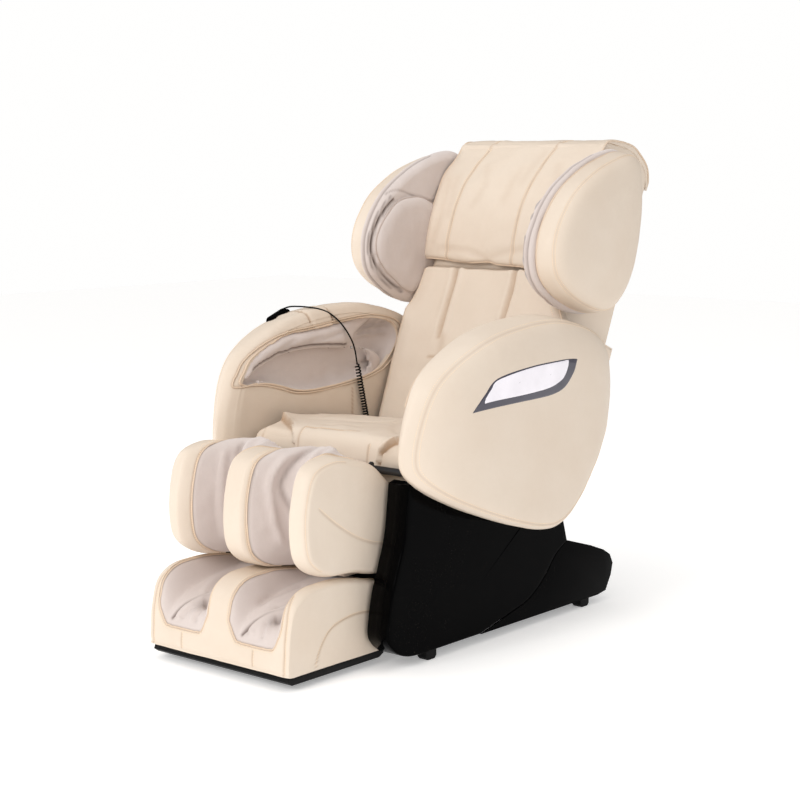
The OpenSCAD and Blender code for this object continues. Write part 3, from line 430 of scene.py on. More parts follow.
def settle(obj, body, replaces=()):
    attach(obj, body)
    if replaces:
        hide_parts(*replaces)
    return obj


def bevelled(node, slot, width, segments):
    """A copy of a CAD node with its edges rounded, which stands for the node"""
    source = frame["nodes"][node]
    name = node + "_finished"
    mesh = source.data.copy()
    mesh.name = name
    merged(mesh, 1e-5, flatten)
    mesh.materials.clear()
    mesh.materials.append(slot_finish[slot])
    obj = placed(name, mesh)
    mod = obj.modifiers.new("edge", "BEVEL")
    mod.width = width
    mod.segments = segments
    mod.limit_method = "ANGLE"
    mod.angle_limit = math.radians(28)
    bpy.context.view_layer.update()
    done = applied(obj)
    obj.modifiers.clear()
    obj.data = done
    done.name = name
    for f in done.polygons:
        f.use_smooth = True
    done.set_sharp_from_angle(angle=math.radians(40))
    settle(obj, source["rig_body"], [node])


def plumped(form, cap):
    """The form swelled as an airtight cloth, with no place moved by more than cap"""
    scene = bpy.context.scene
    mesh = mesh_of(form, "cloth_start")
    merged(mesh, same_place)
    obj = placed("cloth_start", mesh)
    even = obj.modifiers.new("even", "REMESH")
    even.mode = "VOXEL"
    even.voxel_size = voxel
    bpy.context.view_layer.update()
    obj.data = applied(obj)
    obj.modifiers.clear()
    count = len(obj.data.vertices)
    start = np.zeros(count * 3)
    obj.data.vertices.foreach_get("co", start)
    start = start.reshape(-1, 3) * 1000
    quads = np.array([tuple(f.vertices) for f in obj.data.polygons if len(f.vertices) == 4])
    cloth = obj.modifiers.new("cloth", "CLOTH")
    cloth.settings.quality = 5
    cloth.settings.mass = 0.3
    cloth.settings.tension_stiffness = 12
    cloth.settings.compression_stiffness = 12
    cloth.settings.bending_stiffness = 0.4
    cloth.settings.shrink_min = -slack
    cloth.settings.use_pressure = True
    cloth.settings.uniform_pressure_force = pressure
    cloth.settings.effector_weights.gravity = 0
    cloth.collision_settings.use_collision = False
    cloth.point_cache.frame_start = 1
    cloth.point_cache.frame_end = cloth_steps
    for step in range(1, cloth_steps + 1):
        scene.frame_set(step)
    end = np.zeros(count * 3)
    applied(obj).vertices.foreach_get("co", end)
    bpy.data.objects.remove(obj)
    scene.frame_set(1)
    move = end.reshape(-1, 3) * 1000 - start
    far = np.linalg.norm(move, axis=1, keepdims=True)
    return Form(start + move * cap / (cap + far), quads)


# ---- finishes
class Val:
    """A shader number that adds its own Math nodes to its finish"""

    def __init__(self, finish, socket):
        self.finish, self.socket = finish, socket

    def maths(self, operation, *others):
        return self.finish.node("Math", {"operation": operation},
                                dict(enumerate((self,) + others)))

    def __add__(self, o):
        return self.maths("ADD", o)

    def __sub__(self, o):
        return self.maths("SUBTRACT", o)

    def __mul__(self, o):
        return self.maths("MULTIPLY", o)

    def __pow__(self, o):
        return self.maths("POWER", o)

    def __rsub__(self, o):
        return self.finish.node("Math", {"operation": "SUBTRACT"}, {0: o, 1: self})

    __radd__ = __add__
    __rmul__ = __mul__

    def kept(self):
        return self.finish.node("Clamp", {}, {"Value": self})


class Finish:
    """A procedural material built from expressions on its own coordinates"""

    def __init__(self, name):
        self.material = bpy.data.materials.new(name)
        self.material.use_nodes = True
        self.tree = self.material.node_tree
        self.tree.nodes.clear()
        self.shader = self.tree.nodes.new("ShaderNodeBsdfPrincipled")
        out = self.tree.nodes.new("ShaderNodeOutputMaterial")
        self.tree.links.new(self.shader.outputs[0], out.inputs[0])
        self.at = self.node("TexCoord", out="Object")

    def node(self, kind, settings=None, values=None, out=0):
        """A new node of the kind, its settings and the values or links of its sockets"""
        made = self.tree.nodes.new("ShaderNode" + kind)
        for key, value in (settings or {}).items():
            setattr(made, key, value)
        for key, value in (values or {}).items():
            self.give(made.inputs[key], value)
        return Val(self, made.outputs[out])

    def give(self, socket, value):
        if isinstance(value, Val):
            self.tree.links.new(value.socket, socket)
        elif isinstance(value, (tuple, list)) and len(value) == 3 and socket.type == "RGBA":
            socket.default_value = (*value, 1)
        else:
            socket.default_value = value

    def set(self, **values):
        for key, value in values.items():
            self.give(self.shader.inputs[key.replace("_", " ")], value)
        return self

    def mottle(self, scale, detail, at=None):
        return self.node("TexNoise", {}, {"Vector": at or self.at, "Scale": scale,
                                          "Detail": detail, "Roughness": 0.55})

    def stretched(self, scale):
        return self.node("Mapping", {}, {"Vector": self.at, "Scale": scale})

    def cells(self, scale):
        return self.node("TexVoronoi", {}, {"Vector": self.at, "Scale": scale}, "Distance")

    def bands(self, way, scale):
        return self.node("TexWave", {"wave_type": "BANDS", "bands_direction": way},
                         {"Vector": self.at, "Scale": scale, "Distortion": 1.2, "Detail": 1.0,
                          "Detail Scale": 2.0}, 1)

    def blend(self, a, b, amount):
        return self.node("Mix", {"data_type": "RGBA"}, {0: amount, 6: a, 7: b}, 2)

    def painted_crease_shade(self):
        """Painted shade: how deep in a seam or fold each place lies, from the mesh's own layer"""
        return self.node("Attribute", {"attribute_name": "shade"}, out="Fac")

    def bumps(self, *layers):
        """Layers of (height, strength, distance in metres), the coarsest first"""
        last = None
        for height, strength, distance in layers:
            values = {"Height": height, "Strength": strength, "Distance": distance}
            if last is not None:
                values["Normal"] = last
            last = self.node("Bump", {}, values)
        return self.set(Normal=last)


def colour(r, g, b):
    """A colour on the usual 0 to 255 scale as linear light"""
    return tuple(round(v / 255 / 12.92 if v <= 10.31 else ((v / 255 + 0.055) / 1.055) ** 2.4, 5)
                 for v in (r, g, b))


def leather(name, light, deep, crease, grain=0.30, wrinkle=0.2):
    f = Finish(name)
    broad = f.mottle(6.0, 2.0)
    fine = f.mottle(85.0, 4.0)
    pores = f.cells(950.0)
    crease_shade = f.painted_crease_shade()
    tone = f.blend(light, deep, (broad * 0.9 + fine * 0.25 - 0.1).kept())
    # painted shade: the tone darkens towards the crease colour in seams and folds
    tone = f.blend(tone, crease, (crease_shade * 0.8 + crease_shade * fine * 0.4).kept())
    f.set(Base_Color=tone, Roughness=(0.40 + broad * 0.08 + pores * 0.07 + crease_shade * 0.12).kept(),
          Specular_IOR_Level=0.42, IOR=1.48)
    f.bumps((f.mottle(22.0, 3.0), wrinkle, 0.004), (fine, 0.16, 0.0009),
            (pores ** 0.6, grain, 0.0004))
    return f.material


def knit(name, light, deep, crease):
    f = Finish(name)
    broad = f.mottle(9.0, 2.0)
    fine = f.mottle(120.0, 3.0)
    crease_shade = f.painted_crease_shade()
    weave = f.bands("Z", 260.0) * f.bands("DIAGONAL", 190.0)
    tone = f.blend(light, deep, (broad * 0.7 + fine * 0.2 + weave * 0.12).kept())
    # painted shade: the tone darkens towards the crease colour in seams and folds
    tone = f.blend(tone, crease, crease_shade.kept())
    f.set(Base_Color=tone, Roughness=(0.66 + broad * 0.1 + weave * 0.08).kept(),
          Specular_IOR_Level=0.28, Sheen_Weight=0.30, Sheen_Roughness=0.45)
    f.bumps((f.mottle(30.0, 3.0), 0.15, 0.004), (fine, 0.1, 0.0008), (weave, 0.22, 0.0003))
    return f.material


def gloss(name, base, rough=0.08, coat=0.4, specular=0.4):
    f = Finish(name)
    haze = f.mottle(14.0, 4.0)
    specks = f.mottle(420.0, 2.0)
    f.set(Base_Color=f.blend(base, tuple(v * 1.35 + 0.0003 for v in base), haze),
          Roughness=(rough + haze * 0.06 + (specks - 0.5) * 0.03).kept(),
          Coat_Weight=coat, Coat_Roughness=0.04, Specular_IOR_Level=specular)
    f.bumps((f.mottle(38.0, 2.0), 0.03, 0.002))
    return f.material


def moulded(name, base, rough=0.5, grain=0.2, specular=0.4):
    f = Finish(name)
    haze = f.mottle(20.0, 4.0)
    grains = f.cells(1300.0)
    f.set(Base_Color=f.blend(base, tuple(v * 1.5 + 0.003 for v in base), haze),
          Roughness=(rough + haze * 0.1 + grains * 0.08).kept(), Specular_IOR_Level=specular)
    f.bumps((grains, grain, 0.0003))
    return f.material


def metal(name, base, rough=0.35, brushed=0.0):
    f = Finish(name)
    haze = f.mottle(16.0, 4.0)
    lines = f.mottle(60.0, 3.0, at=f.stretched((1.0, 1.0, 14.0)))
    f.set(Base_Color=f.blend(base, tuple(v * 0.72 for v in base), haze * 0.6 + lines * brushed),
          Roughness=(rough + haze * 0.14 + lines * 0.12 * (1 + brushed)).kept(), Metallic=1.0)
    f.bumps((lines, 0.05 + brushed * 0.1, 0.0004))
    return f.material


# each finish's third colour is its painted shade in seams, folds and slits
cream = leather("cream_leather", colour(231, 217, 201), colour(221, 203, 184),
                colour(176, 141, 108))
cream_piping = leather("cream_piping", colour(230, 210, 190), colour(218, 194, 168),
                       colour(166, 128, 96), grain=0.2, wrinkle=0.05)
mauve = knit("mauve_knit", colour(223, 212, 207), colour(206, 192, 185), colour(106, 88, 80))
mauve_piping = knit("mauve_piping", colour(206, 190, 180), colour(188, 170, 160),
                    colour(110, 90, 80))
black_gloss = gloss("black_gloss", (0.001, 0.001, 0.0011), rough=0.07, coat=0.0,
                    specular=0.016)
black_matte = moulded("black_plastic", (0.004, 0.004, 0.0044), specular=0.16)
black_rubber = moulded("black_rubber", (0.003, 0.003, 0.003), rough=0.5, grain=0.5,
                       specular=0.12)
white_gloss = gloss("white_trim", colour(232, 228, 234), rough=0.16, coat=0.3)
grey_gloss = gloss("grey_trim", colour(72, 70, 80), rough=0.14, coat=0.4)
red_plastic = moulded("red_plastic", colour(170, 22, 18), rough=0.3, grain=0.05)
dark_steel = metal("painted_steel", (0.09, 0.09, 0.095), rough=0.42)
bright_steel = metal("bright_steel", (0.62, 0.62, 0.63), rough=0.22, brushed=0.4)
alloy = metal("alloy", (0.48, 0.48, 0.50), rough=0.34, brushed=0.2)
board = moulded("board", colour(46, 38, 32), rough=0.7, grain=0.4)
thread = moulded("cream_thread", colour(232, 208, 176), rough=0.6, grain=0.3)
slot_finish = {"leather": cream, "cloth": mauve, "black_gloss": black_gloss,
               "black_matte": black_matte, "white_gloss": white_gloss, "grey_gloss": grey_gloss,
               "red_plastic": red_plastic, "dark_steel": dark_steel, "bright_steel": bright_steel,
               "alloy": alloy, "rubber": black_rubber, "board": board}

# ---- handset cord, along the route of its solid
handset_at = [-300, -142, 697]
tilt = math.radians(21)
relief_turn = math.radians(62)
relief_end = np.array([9.0, 4.0, -6.5]) + 17 * np.array(
    [0, math.sin(relief_turn), math.cos(relief_turn)])
cord_start = [
    handset_at[0] - relief_end[0],
    handset_at[1] + relief_end[1] * math.cos(tilt) - relief_end[2] * math.sin(tilt),
    handset_at[2] + relief_end[1] * math.sin(tilt) + relief_end[2] * math.cos(tilt)]
cord_route = [cord_start, [-305, -112, 709], [-297, -106, 711], [-284, -100, 711.5],
              [-272, -92, 711], [-262, -79, 709], [-253, -60, 705], [-245.5, -34, 695],
              [-239.5, -6, 675], [-236, 18, 650], [-234.5, 38, 622], [-234.5, 48, 600],
              [-234.5, 52, 585]]
coil_top = np.array([-234.5, 55.5, 568])
coil_low = np.array([-234.5, 96, 407])
curls, cord_r, coil_r = 24, 1.9, 5.2


def cord_line(steps=16):
    axis = (coil_low - coil_top) / np.linalg.norm(coil_low - coil_top)
    side = np.cross(axis, [1, 0, 0])
    side /= np.linalg.norm(side)
    other = np.cross(axis, side)
    total = curls * steps
    k = np.arange(total + 1)
    t, turn = k / total, 2 * np.pi * k / steps
    grow = ease(np.minimum(k, total - k) / steps)
    coil = (coil_top + (coil_low - coil_top) * (1.18 * t - 0.18 * t * t)[:, None]
            + coil_r * grow[:, None] * (side * np.cos(turn)[:, None]
                                        + other * np.sin(turn)[:, None]))
    lead = spline(cord_route, 5)
    return np.vstack([lead, coil, [coil_low + 4 * axis, coil_low + 10 * axis]])


cord_path = cord_line()
cord = piece("handset_cord_smooth", tube(cord_path, cord_r, 10), "base",
             [black_rubber], ["handset_cord"])

# ---- arms
x_arm, arm_depth = 245, 127
beyond_arm = 460.0
arm_points = [[-385, 452], [-352, 383], [-220, 314], [-30, 254], [78, 258], [190, 331],
              [300, 440], [340, 560], [288, 655], [110, 708], [-60, 706], [-210, 672],
              [-335, 594]]
cavity_middle = np.array([-40.0, 590.0])
arm_middle = np.array([-20.0, 480.0])
arm_seam = 0.948
# share of the outline, and of the depth at the arm's top and at its foot
arm_profile = [[0.90, 0, 0], [0.965, 0.05, 0.25], [1.0, 0.16, 0.80], [0.985, 0.45, 0.93],
               [0.94, 0.72, 0.98], [0.85, 0.88, 1], [0.68, 0.97, 1], [0.38, 1, 1]]
cavity_points = [[-318, 549], [-330, 558], [-317, 578], [-297, 605], [-257, 627], [-203, 646],
                 [-149, 656], [-107, 659], [-29, 667], [43, 673], [97, 675], [150, 670],
                 [200, 655], [218, 625], [200, 588], [153, 550], [90, 532], [42, 526],
                 [-21, 520], [-91, 517], [-143, 521], [-193, 535], [-234, 545], [-274, 549]]


def arm_taper(y):
    t = np.where(y < 30, (30 - y) / 425, (y - 30) / 352)
    return np.maximum(1 - np.minimum(t, 1) ** 2.5, 0) ** 0.4


def arm_shell():
    """The padded arm: outer dome, rounded rim and inner face down to the hollow's edge"""
    count = 520
    outline = smooth(arm_points, count, True)
    crown = [[share, 1.0, 1.0] for share in np.linspace(0.0, 0.36, 9)]
    rows = []
    for share, high, low in np.vstack([crown, spline(arm_profile, 7)[::-1]]):
        q = scaled(outline, arm_middle, share)
        w = np.clip((700 - q[:, 1]) / 440, 0, 1)
        rows.append(at_x(x_arm + arm_depth * mix(high, low, w) * arm_taper(q[:, 0]), q))
    # the hollow's edge, met by the outline along the same directions
    cavity = smooth(cavity_points, 600, True)
    last = rows[-1][:, 1:]
    turn = np.arctan2(*(last - cavity_middle).T[::-1])
    cavity_turn = np.arctan2(*(cavity - cavity_middle).T[::-1])
    order = np.argsort(cavity_turn)
    mouth = np.stack([np.interp(turn, cavity_turn[order], cavity[order, k], period=2 * np.pi)
                      for k in (0, 1)], 1)
    for t in np.linspace(0, 1, 26)[1:]:
        q = mix(last, mouth, t)
        gone = np.linalg.norm(q - last, axis=1)
        left = np.linalg.norm(q - mouth, axis=1)
        swell = 2.6 * np.minimum(1, gone / 14) * np.minimum(1, left / 10) ** 0.7
        rows.append(at_x(x_arm + 1.0 - swell, q))
    for deep, share in ((3, 0.996), (8, 0.99)):
        rows.append(at_x(x_arm + deep, scaled(mouth, cavity_middle, share)))
    return rings(rows), mouth


def hollow(mouth):
    """Fabric lining of the arm's hollow"""
    rows = [at_x(x_arm + deep, scaled(mouth, cavity_middle, share)) for share, deep in (
        (0.999, 1), (0.99, 4), (0.975, 10), (0.95, 17), (0.9, 23), (0.83, 27), (0.74, 29),
        (0.65, 30), (0.56, 31), (0.47, 31), (0.38, 31), (0.29, 31), (0.2, 31), (0.1, 31),
        (0.0, 31))]
    return rings(rows)


def drawn_to(edge, spine):
    """Where each place of an edge ends on a spine, and how far that is"""
    spine = np.array(spine, float)
    _, along = away(edge, spine)
    along = along * (len(spine) - 1)
    k = np.minimum(along.astype(int), len(spine) - 2)
    base = mix(spine[k], spine[k + 1], (along - k)[:, None])
    return base, np.linalg.norm(edge - base, axis=1)


def puffed(outline, plane, height, spine):
    """A closed stuffed form standing on a plane of x, its outline in [y, z]"""
    count, rim, back = 260, 24, 8
    edge = smooth(outline, count, True)
    base, reach = drawn_to(edge, spine)
    rows = [at_x(plane + back, mix(edge, base, 0.9)), at_x(plane + back, mix(edge, base, 0.04))]
    for t in np.linspace(0, 1, 30) ** 1.5:
        q = mix(edge, base, t)
        low = np.interp(q[:, 0], [-400, 10, 60, 110, 240], [1, 1, 0.28, 0.10, 0.0])
        rows.append(at_x(plane - height * dome(reach * t / rim) * low, q))
    return rings(rows)


def plaque(outline, spine, tree, lift):
    """A low lens on a surface, its outline in [y, z], with a rounded rim"""
    count, rim = 220, 3.0
    edge = evenly(outline, count, True)
    base, reach = drawn_to(edge, spine)
    out = []
    for t in np.linspace(0, 1, 16) ** 1.4:
        q = mix(edge, base, t)
        x = cast_x(tree, q, beyond_arm)[:, 0]
        out.append(at_x(x - 1.5 + (lift + 1.5) * dome(reach * t / rim), q))
    under = out[-1] - [lift + 3, 0, 0]
    rows = [under, out[0] - [3, 0, 0]] + out
    return rings(rows)


leaf = np.vstack([
    spline([[-248, 532], [-214, 568], [-173, 600], [-67, 616], [49, 621]], 10)[:-1],
    spline([[49, 621], [88, 619.5], [108, 617]], 6)[:-1],
    spline([[108, 617], [102, 604], [88, 584], [54, 558], [1, 546], [-102, 542], [-180, 538],
            [-248, 532]], 10)[:-1]])
white_leaf = np.vstack([
    spline([[-212, 561], [-196, 578], [-171, 597.5], [-67, 613.5], [49, 618.5],
            [72, 618]], 10)[:-1],
    spline([[72, 618], [68, 602], [54, 584], [36, 573], [-10, 562], [-102, 556], [-170, 553],
            [-219, 549]], 10)[:-1]])
trims = (("trim_leaf_", leaf, [[-225, 550], [-110, 578], [0, 588], [94, 610]], 0.8,
          "grey_gloss"),
         ("trim_face_", white_leaf, [[-200, 560], [-110, 585], [0, 592], [55, 606]], 1.7,
          "white_gloss"))
bag_points = [[-321, 556], [-312, 582], [-292, 608], [-254, 630], [-203, 649], [-149, 659],
              [-107, 662], [-29, 669], [40, 675], [96, 681], [150, 684], [118, 664], [70, 634],
              [44, 606], [-47, 609], [-107, 611], [-167, 608], [-216, 598], [-257, 584],
              [-290, 566]]
bag_spine = [[-290, 580], [-203, 622], [-60, 636], [60, 655]]
apron_points = [[-320, 545], [-292, 572], [-257, 592], [-216, 606], [-167, 614], [-107, 617],
                [-47, 616], [30, 611], [80, 604], [130, 592], [160, 566], [140, 540],
                [108, 524], [69, 512], [42, 505], [-21, 496], [-91, 488], [-143, 492],
                [-193, 510], [-240, 530], [-280, 540]]
apron_spine = [[-290, 556], [-193, 560], [-60, 552], [60, 556], [120, 562]]
apron_folds = (([[222, -306, 556], [222, -270, 568], [222, -220, 580]], 5, 3.5),
               ([[222, -300, 550], [222, -262, 548], [222, -214, 556]], 5, 3.0),
               ([[222, -292, 545], [222, -262, 534], [222, -230, 526]], 4, 2.5),
               ([[230, 70, 590], [230, 100, 560], [230, 112, 536]], 5, 3.0),
               ([[230, 100, 584], [230, 128, 562], [230, 136, 546]], 5, 3.0),
               ([[226, 20, 600], [226, 62, 566], [226, 76, 528]], 6, 2.5),
               ([[222, -150, 596], [222, -100, 584], [222, -40, 588]], 9, 1.8))
bag_slit = [[230, -286, 576], [228, -257, 588], [228, -216, 600], [228, -167, 609],
            [228, -107, 613], [230, -47, 611], [234, 20, 608], [236, 33, 608]]

tags = {1: "left", -1: "right"}
stitches = []
pipes = []
pipe_finish = {"leather": cream_piping, "cloth": mauve_piping}


def sew(body, tree, line, flip=1):
    """Keep a row of stitches, laid along a line on a surface, for sew_all"""
    stitches.append((body, laid(tree, line, 0.25) * flip))


def pipe(body, line, radius, closed=False, slot="leather"):
    """Keep a run of piping for lay_piping"""
    pipes.append((body, tube(line, radius, 6, closed), slot))


def make_arm(side):
    tag, flip = tags[side], np.array([side, 1.0, 1.0])
    shell, mouth = arm_shell()
    outline = smooth(arm_points, 400, True)
    # seam that runs inside the outer face's edge
    ring = cast_x(shell.tree(), scaled(outline, arm_middle, arm_seam), beyond_arm)
    shell.press(loop(ring), 2.4, 1.0, 0.28)
    shell.press(loop(at_x(x_arm - 1.5, mouth)), 3.0, 1.0, 0.35)
    rim = at_x(x_arm - 1.5, scaled(mouth, cavity_middle, 1.075))
    rim, rim_up = laid_and_up(shell.tree(), evenly(rim, 260, True))
    shell.press(loop(rim), 2.6, 1.5, 0.5)
    shell.press([[x_arm - 1, 49, 505], [x_arm - 1, 48, 429], [x_arm - 1, 47, 380]], 3, 2.0, 0.6)
    if side < 0:
        # raised band under the handset's cord, with a seam on either side darkened with painted
        # shade
        shell.raise_band([[316, -128, 696], [300, -98, 702], [282, -76, 703], [266, -66, 695],
                          [254, -56, 678], [246, -50, 656]], 33, 5, 3.0)
        for line in ([[330, -150, 678], [314, -140, 688], [298, -122, 694], [284, -110, 691],
                      [268, -99, 681], [256, -90, 664], [247, -86, 650]],
                     [[318, -74, 700], [298, -60, 706], [276, -46, 705], [262, -34, 698],
                      [253, -21, 683], [246, -13, 662]]):
            shell.press(laid(shell.tree(), spline(line, 6)), 2.2, 3.4, 1.0)
    shell.lumps(55, 0.7, 3 + side)
    tree = shell.tree()
    piece("arm_shell_" + tag, shell.on_side(side), "base", [cream],
          ["arm_" + tag, "arm_linings", "arm_flaps"])
    for name, edge, spine, lift, slot in trims:
        piece(name + tag, plaque(edge, spine, tree, lift).on_side(side), "base",
              [slot_finish[slot]], ["trim_white", "trim_grey"])
    for shift in (-4.5, 4.5):
        row = scaled(outline, arm_middle, arm_seam + shift / 330)
        sew("base", tree, cast_x(tree, row, beyond_arm), flip)
    pipe("base", laid(tree, at_x(x_arm - 2, mouth), 1.2) * flip, 2.4, True)
    pipe("base", (rim + rim_up * 0.8) * flip, 1.8, True)
    lining = hollow(mouth)
    lining.lumps(60, 4.0, 5)
    for ends in (((274, 196, 660), (274, 150, 560)), ((274, 176, 668), (274, 126, 550)),
                 ((274, 150, 670), (274, 96, 545)), ((274, 122, 672), (274, 100, 610))):
        line = laid(lining.tree(), spline(ends, 12))
        lining.press(line, 6, -6)
        lining.press(line + [0, 11, 0], 6, 5, 0.2)
    piece("arm_hollow_" + tag, lining.on_side(side), "base", [mauve])
    make_bags(side)


def make_bags(side):
    """The long bag under the arm's rim, the apron below it and the snap at their end"""
    tag = tags[side]
    slit = spline(bag_slit, 8)
    bag = plumped(puffed(bag_points, x_arm + 14, 18, bag_spine), 3.5)
    bag.lumps(40, 1.4, 2)
    for ends in (([232, -250, 600], [232, -150, 640]), ([232, -200, 612], [232, -60, 640]),
                 ([232, -120, 622], [232, 20, 646])):
        bag.press(laid(bag.tree(), spline(ends, 12)), 5, 2.6, 0.1)
    # painted shade along the slit between the bag and the apron
    bag.press(laid(bag.tree(), slit), 3.4, 3.5, 1.0)
    apron = plumped(puffed(apron_points, x_arm + 6, 24, apron_spine), 4.0)
    apron.lumps(60, 1.6, 7)
    for fold, width, deep in apron_folds:
        apron.press(laid(apron.tree(), spline(fold, 8)), width, deep, 0.1)
    apron.press(laid(apron.tree(), slit), 3.0, 2.0, 0.8)
    snap = tube([[x, 33, 607.5] for x in (234, 231, 229.5, 228.6)], [3.2, 3.2, 2.6, 1.2], 14)
    piece("snap_" + tag, snap.on_side(side), "base", [bright_steel])
    for name, form in (("arm_bag_upper_", bag), ("arm_apron_", apron)):
        piece(name + tag, form.on_side(side), "base", [mauve])


# ---- the back's own axes
lean = math.radians(23)
back_y, back_z = 150, 380


def in_back(p):
    """Points [x, n, u] of the back in the row frame"""
    p = np.asarray(p, float)
    return np.column_stack([
        p[:, 0], back_y + p[:, 1] * math.cos(lean) + p[:, 2] * math.sin(lean),
        back_z - p[:, 1] * math.sin(lean) + p[:, 2] * math.cos(lean)])


# ---- head wings
wing_points = [[-246, 440], [-212, 362], [-130, 332], [-30, 338], [58, 374], [98, 450],
               [98, 545], [74, 645], [30, 735], [-20, 748], [-95, 702], [-165, 635],
               [-225, 545]]
wing_middle = np.array([-60.0, 540.0])
x_wing, wing_t = 222, 103
wing_shape = [[0.33, 0.93], [0.345, 0.968], [0.42, 0.972], [0.66, 0.95], [0.82, 0.90],
              [0.93, 0.78], [1, 0.49]]


def local(points):
    """World [y, z] as the back's [n, u]"""
    p = np.asarray(points, float) - [back_y, back_z]
    return np.column_stack([p[:, 0] * math.cos(lean) - p[:, 1] * math.sin(lean),
                            p[:, 0] * math.sin(lean) + p[:, 1] * math.cos(lean)])


wing_rim = ((0.33, 0.6), (0.33, 0.95), (0.325, 0.975), (0.305, 0.99), (0.28, 0.998),
            (0.25, 1.002), (0.22, 1.002), (0.19, 1.0), (0.16, 0.996), (0.13, 0.99),
            (0.10, 0.98), (0.07, 0.967), (0.045, 0.95), (0.02, 0.928), (0.0, 0.90),
            (-0.01, 0.872))
wing_bag = [[306, 952], [270, 962], [228, 962], [186, 951], [156, 928], [126, 897], [108, 862],
            [111, 826], [141, 788], [182, 759], [213, 738], [250, 730], [330, 760], [370, 850],
            [350, 930]]
wing_slit = np.array([[176, 958], [147, 936], [116, 902], [98, 863], [101, 822], [133, 780],
                      [176, 750], [212, 731]])
slit_out = np.array([[-0.3, 0.4], [-0.6, 0.5], [-0.8, 0.3], [-1, 0], [-0.9, -0.2],
                     [-0.6, -0.5], [-0.2, -0.4]])


def make_wing(side):
    tag, flip = tags[side], np.array([side, 1.0, 1.0])
    count = 240
    outline = smooth(wing_points, count, True)
    trimmed = mix(0.022, -0.036, ease((70 - outline[:, 0]) / 190))[:, None]

    def ring(depth, share):
        return at_x(x_wing + wing_t * depth, scaled(outline, wing_middle, share))

    rows = [ring(0.32, 0.6)]
    rows += [ring(depth, s + trimmed * min(1, s)) for depth, s in spline(wing_shape, 5)]
    rows += [ring(1 + 0.02 * (1 - s / 0.5), s) for s in (0.42, 0.34, 0.26, 0.18, 0.1, 0.0)]
    shell = rings(rows, in_back)
    tree = shell.tree()
    seams = [cast(tree, in_back(at_x(beyond_arm, scaled(outline, wing_middle, s + trimmed))),
                  (-1, 0, 0)) for s in (0.925, 0.94)]
    shell.press(loop((seams[0] + seams[1]) / 2), 2.4, 0.9, 0.25)
    shell.lumps(70, 0.8, 11 + side)
    tree = shell.tree()
    piece("wing_shell_" + tag, shell.on_side(side), "back", [cream],
          ["wing_" + tag])
    for line in seams:
        sew("back", tree, line, flip)
    pipe("back", in_back(ring(0.345, 0.97 + trimmed)) * flip, 2.3, True)
    # inner face in knit, with its own bag
    rows = [ring(depth, s) for depth, s in wing_rim]
    rows += [at_x(x_wing - 1.6 + 1.2 * (s - 0.4), scaled(outline, wing_middle, s))
             for s in np.linspace(0.855, 0.0, 60)]
    bag = smooth(local(wing_bag), 200, True)
    verts = []
    for row in rows:
        x, q = row[:, 0], row[:, 1:]
        d, _ = away(q, loop(bag))
        lift = np.where(inside(q, bag), 13 * dome(d / 30), -1.5 * bell(d, 5))
        verts.append(at_x(x - np.where(x < x_wing + 1, lift, 0), q))
    face = rings(verts, in_back)
    # painted shade in the slit and in the groove beyond its raised lip
    for line, width, deep, dark in ((wing_slit, 3.2, 7.5, 1.0),
                                    (wing_slit[:-1] + 13 * slit_out, 5, -5.0, 0),
                                    (wing_slit[:-1] + 24 * slit_out, 2.6, 2.6, 0.6)):
        face.press(laid(face.tree(), at_x(x_wing - 1.0, spline(line, 8))), width, deep, dark)
    arc = spline([[142, 990], [198, 980], [256, 965], [330, 950]], 8)
    face.press(laid(face.tree(), at_x(x_wing - 2, arc)), 2.4, 1.5, 0.4)
    # soft folds of the knit round the front edge
    for k in ((7, 12) if side > 0 else (7,)):
        face.press(order_run(in_back(rows[k]), outline[:, 0] < -90), 3.4, 4.0, 0.5)
    face.lumps(60, 1.6, 17 + side)
    bag = laid(face.tree(), in_back(at_x(x_wing - 4.0, bag)), 0.6)
    piece("wing_face_" + tag, face.on_side(side), "back", [mauve], ["wing_pads"])
    pipe("back", bag * flip, 1.6, True, "cloth")


# ---- head pillow
hood_out = [[-40, 446], [-57, 450], [-68, 490], [-76, 566], [-66, 640], [-48, 690], [-26, 735],
            [0, 776], [36, 798], [72, 810], [112, 816], [150, 809], [184, 795], [204, 770],
            [207, 736]]
hood_in = [[-31.5, 447.5], [-31.5, 453], [-31.5, 490], [-31.5, 566], [-31.5, 640],
           [-31.5, 688], [-10, 716], [-10.5, 766], [37, 784.5], [70, 792.5], [104, 797.5],
           [151, 790.5], [183, 774.5], [195.5, 744], [195, 735.5]]
cheek_middle = np.array([88.0, 700.0])


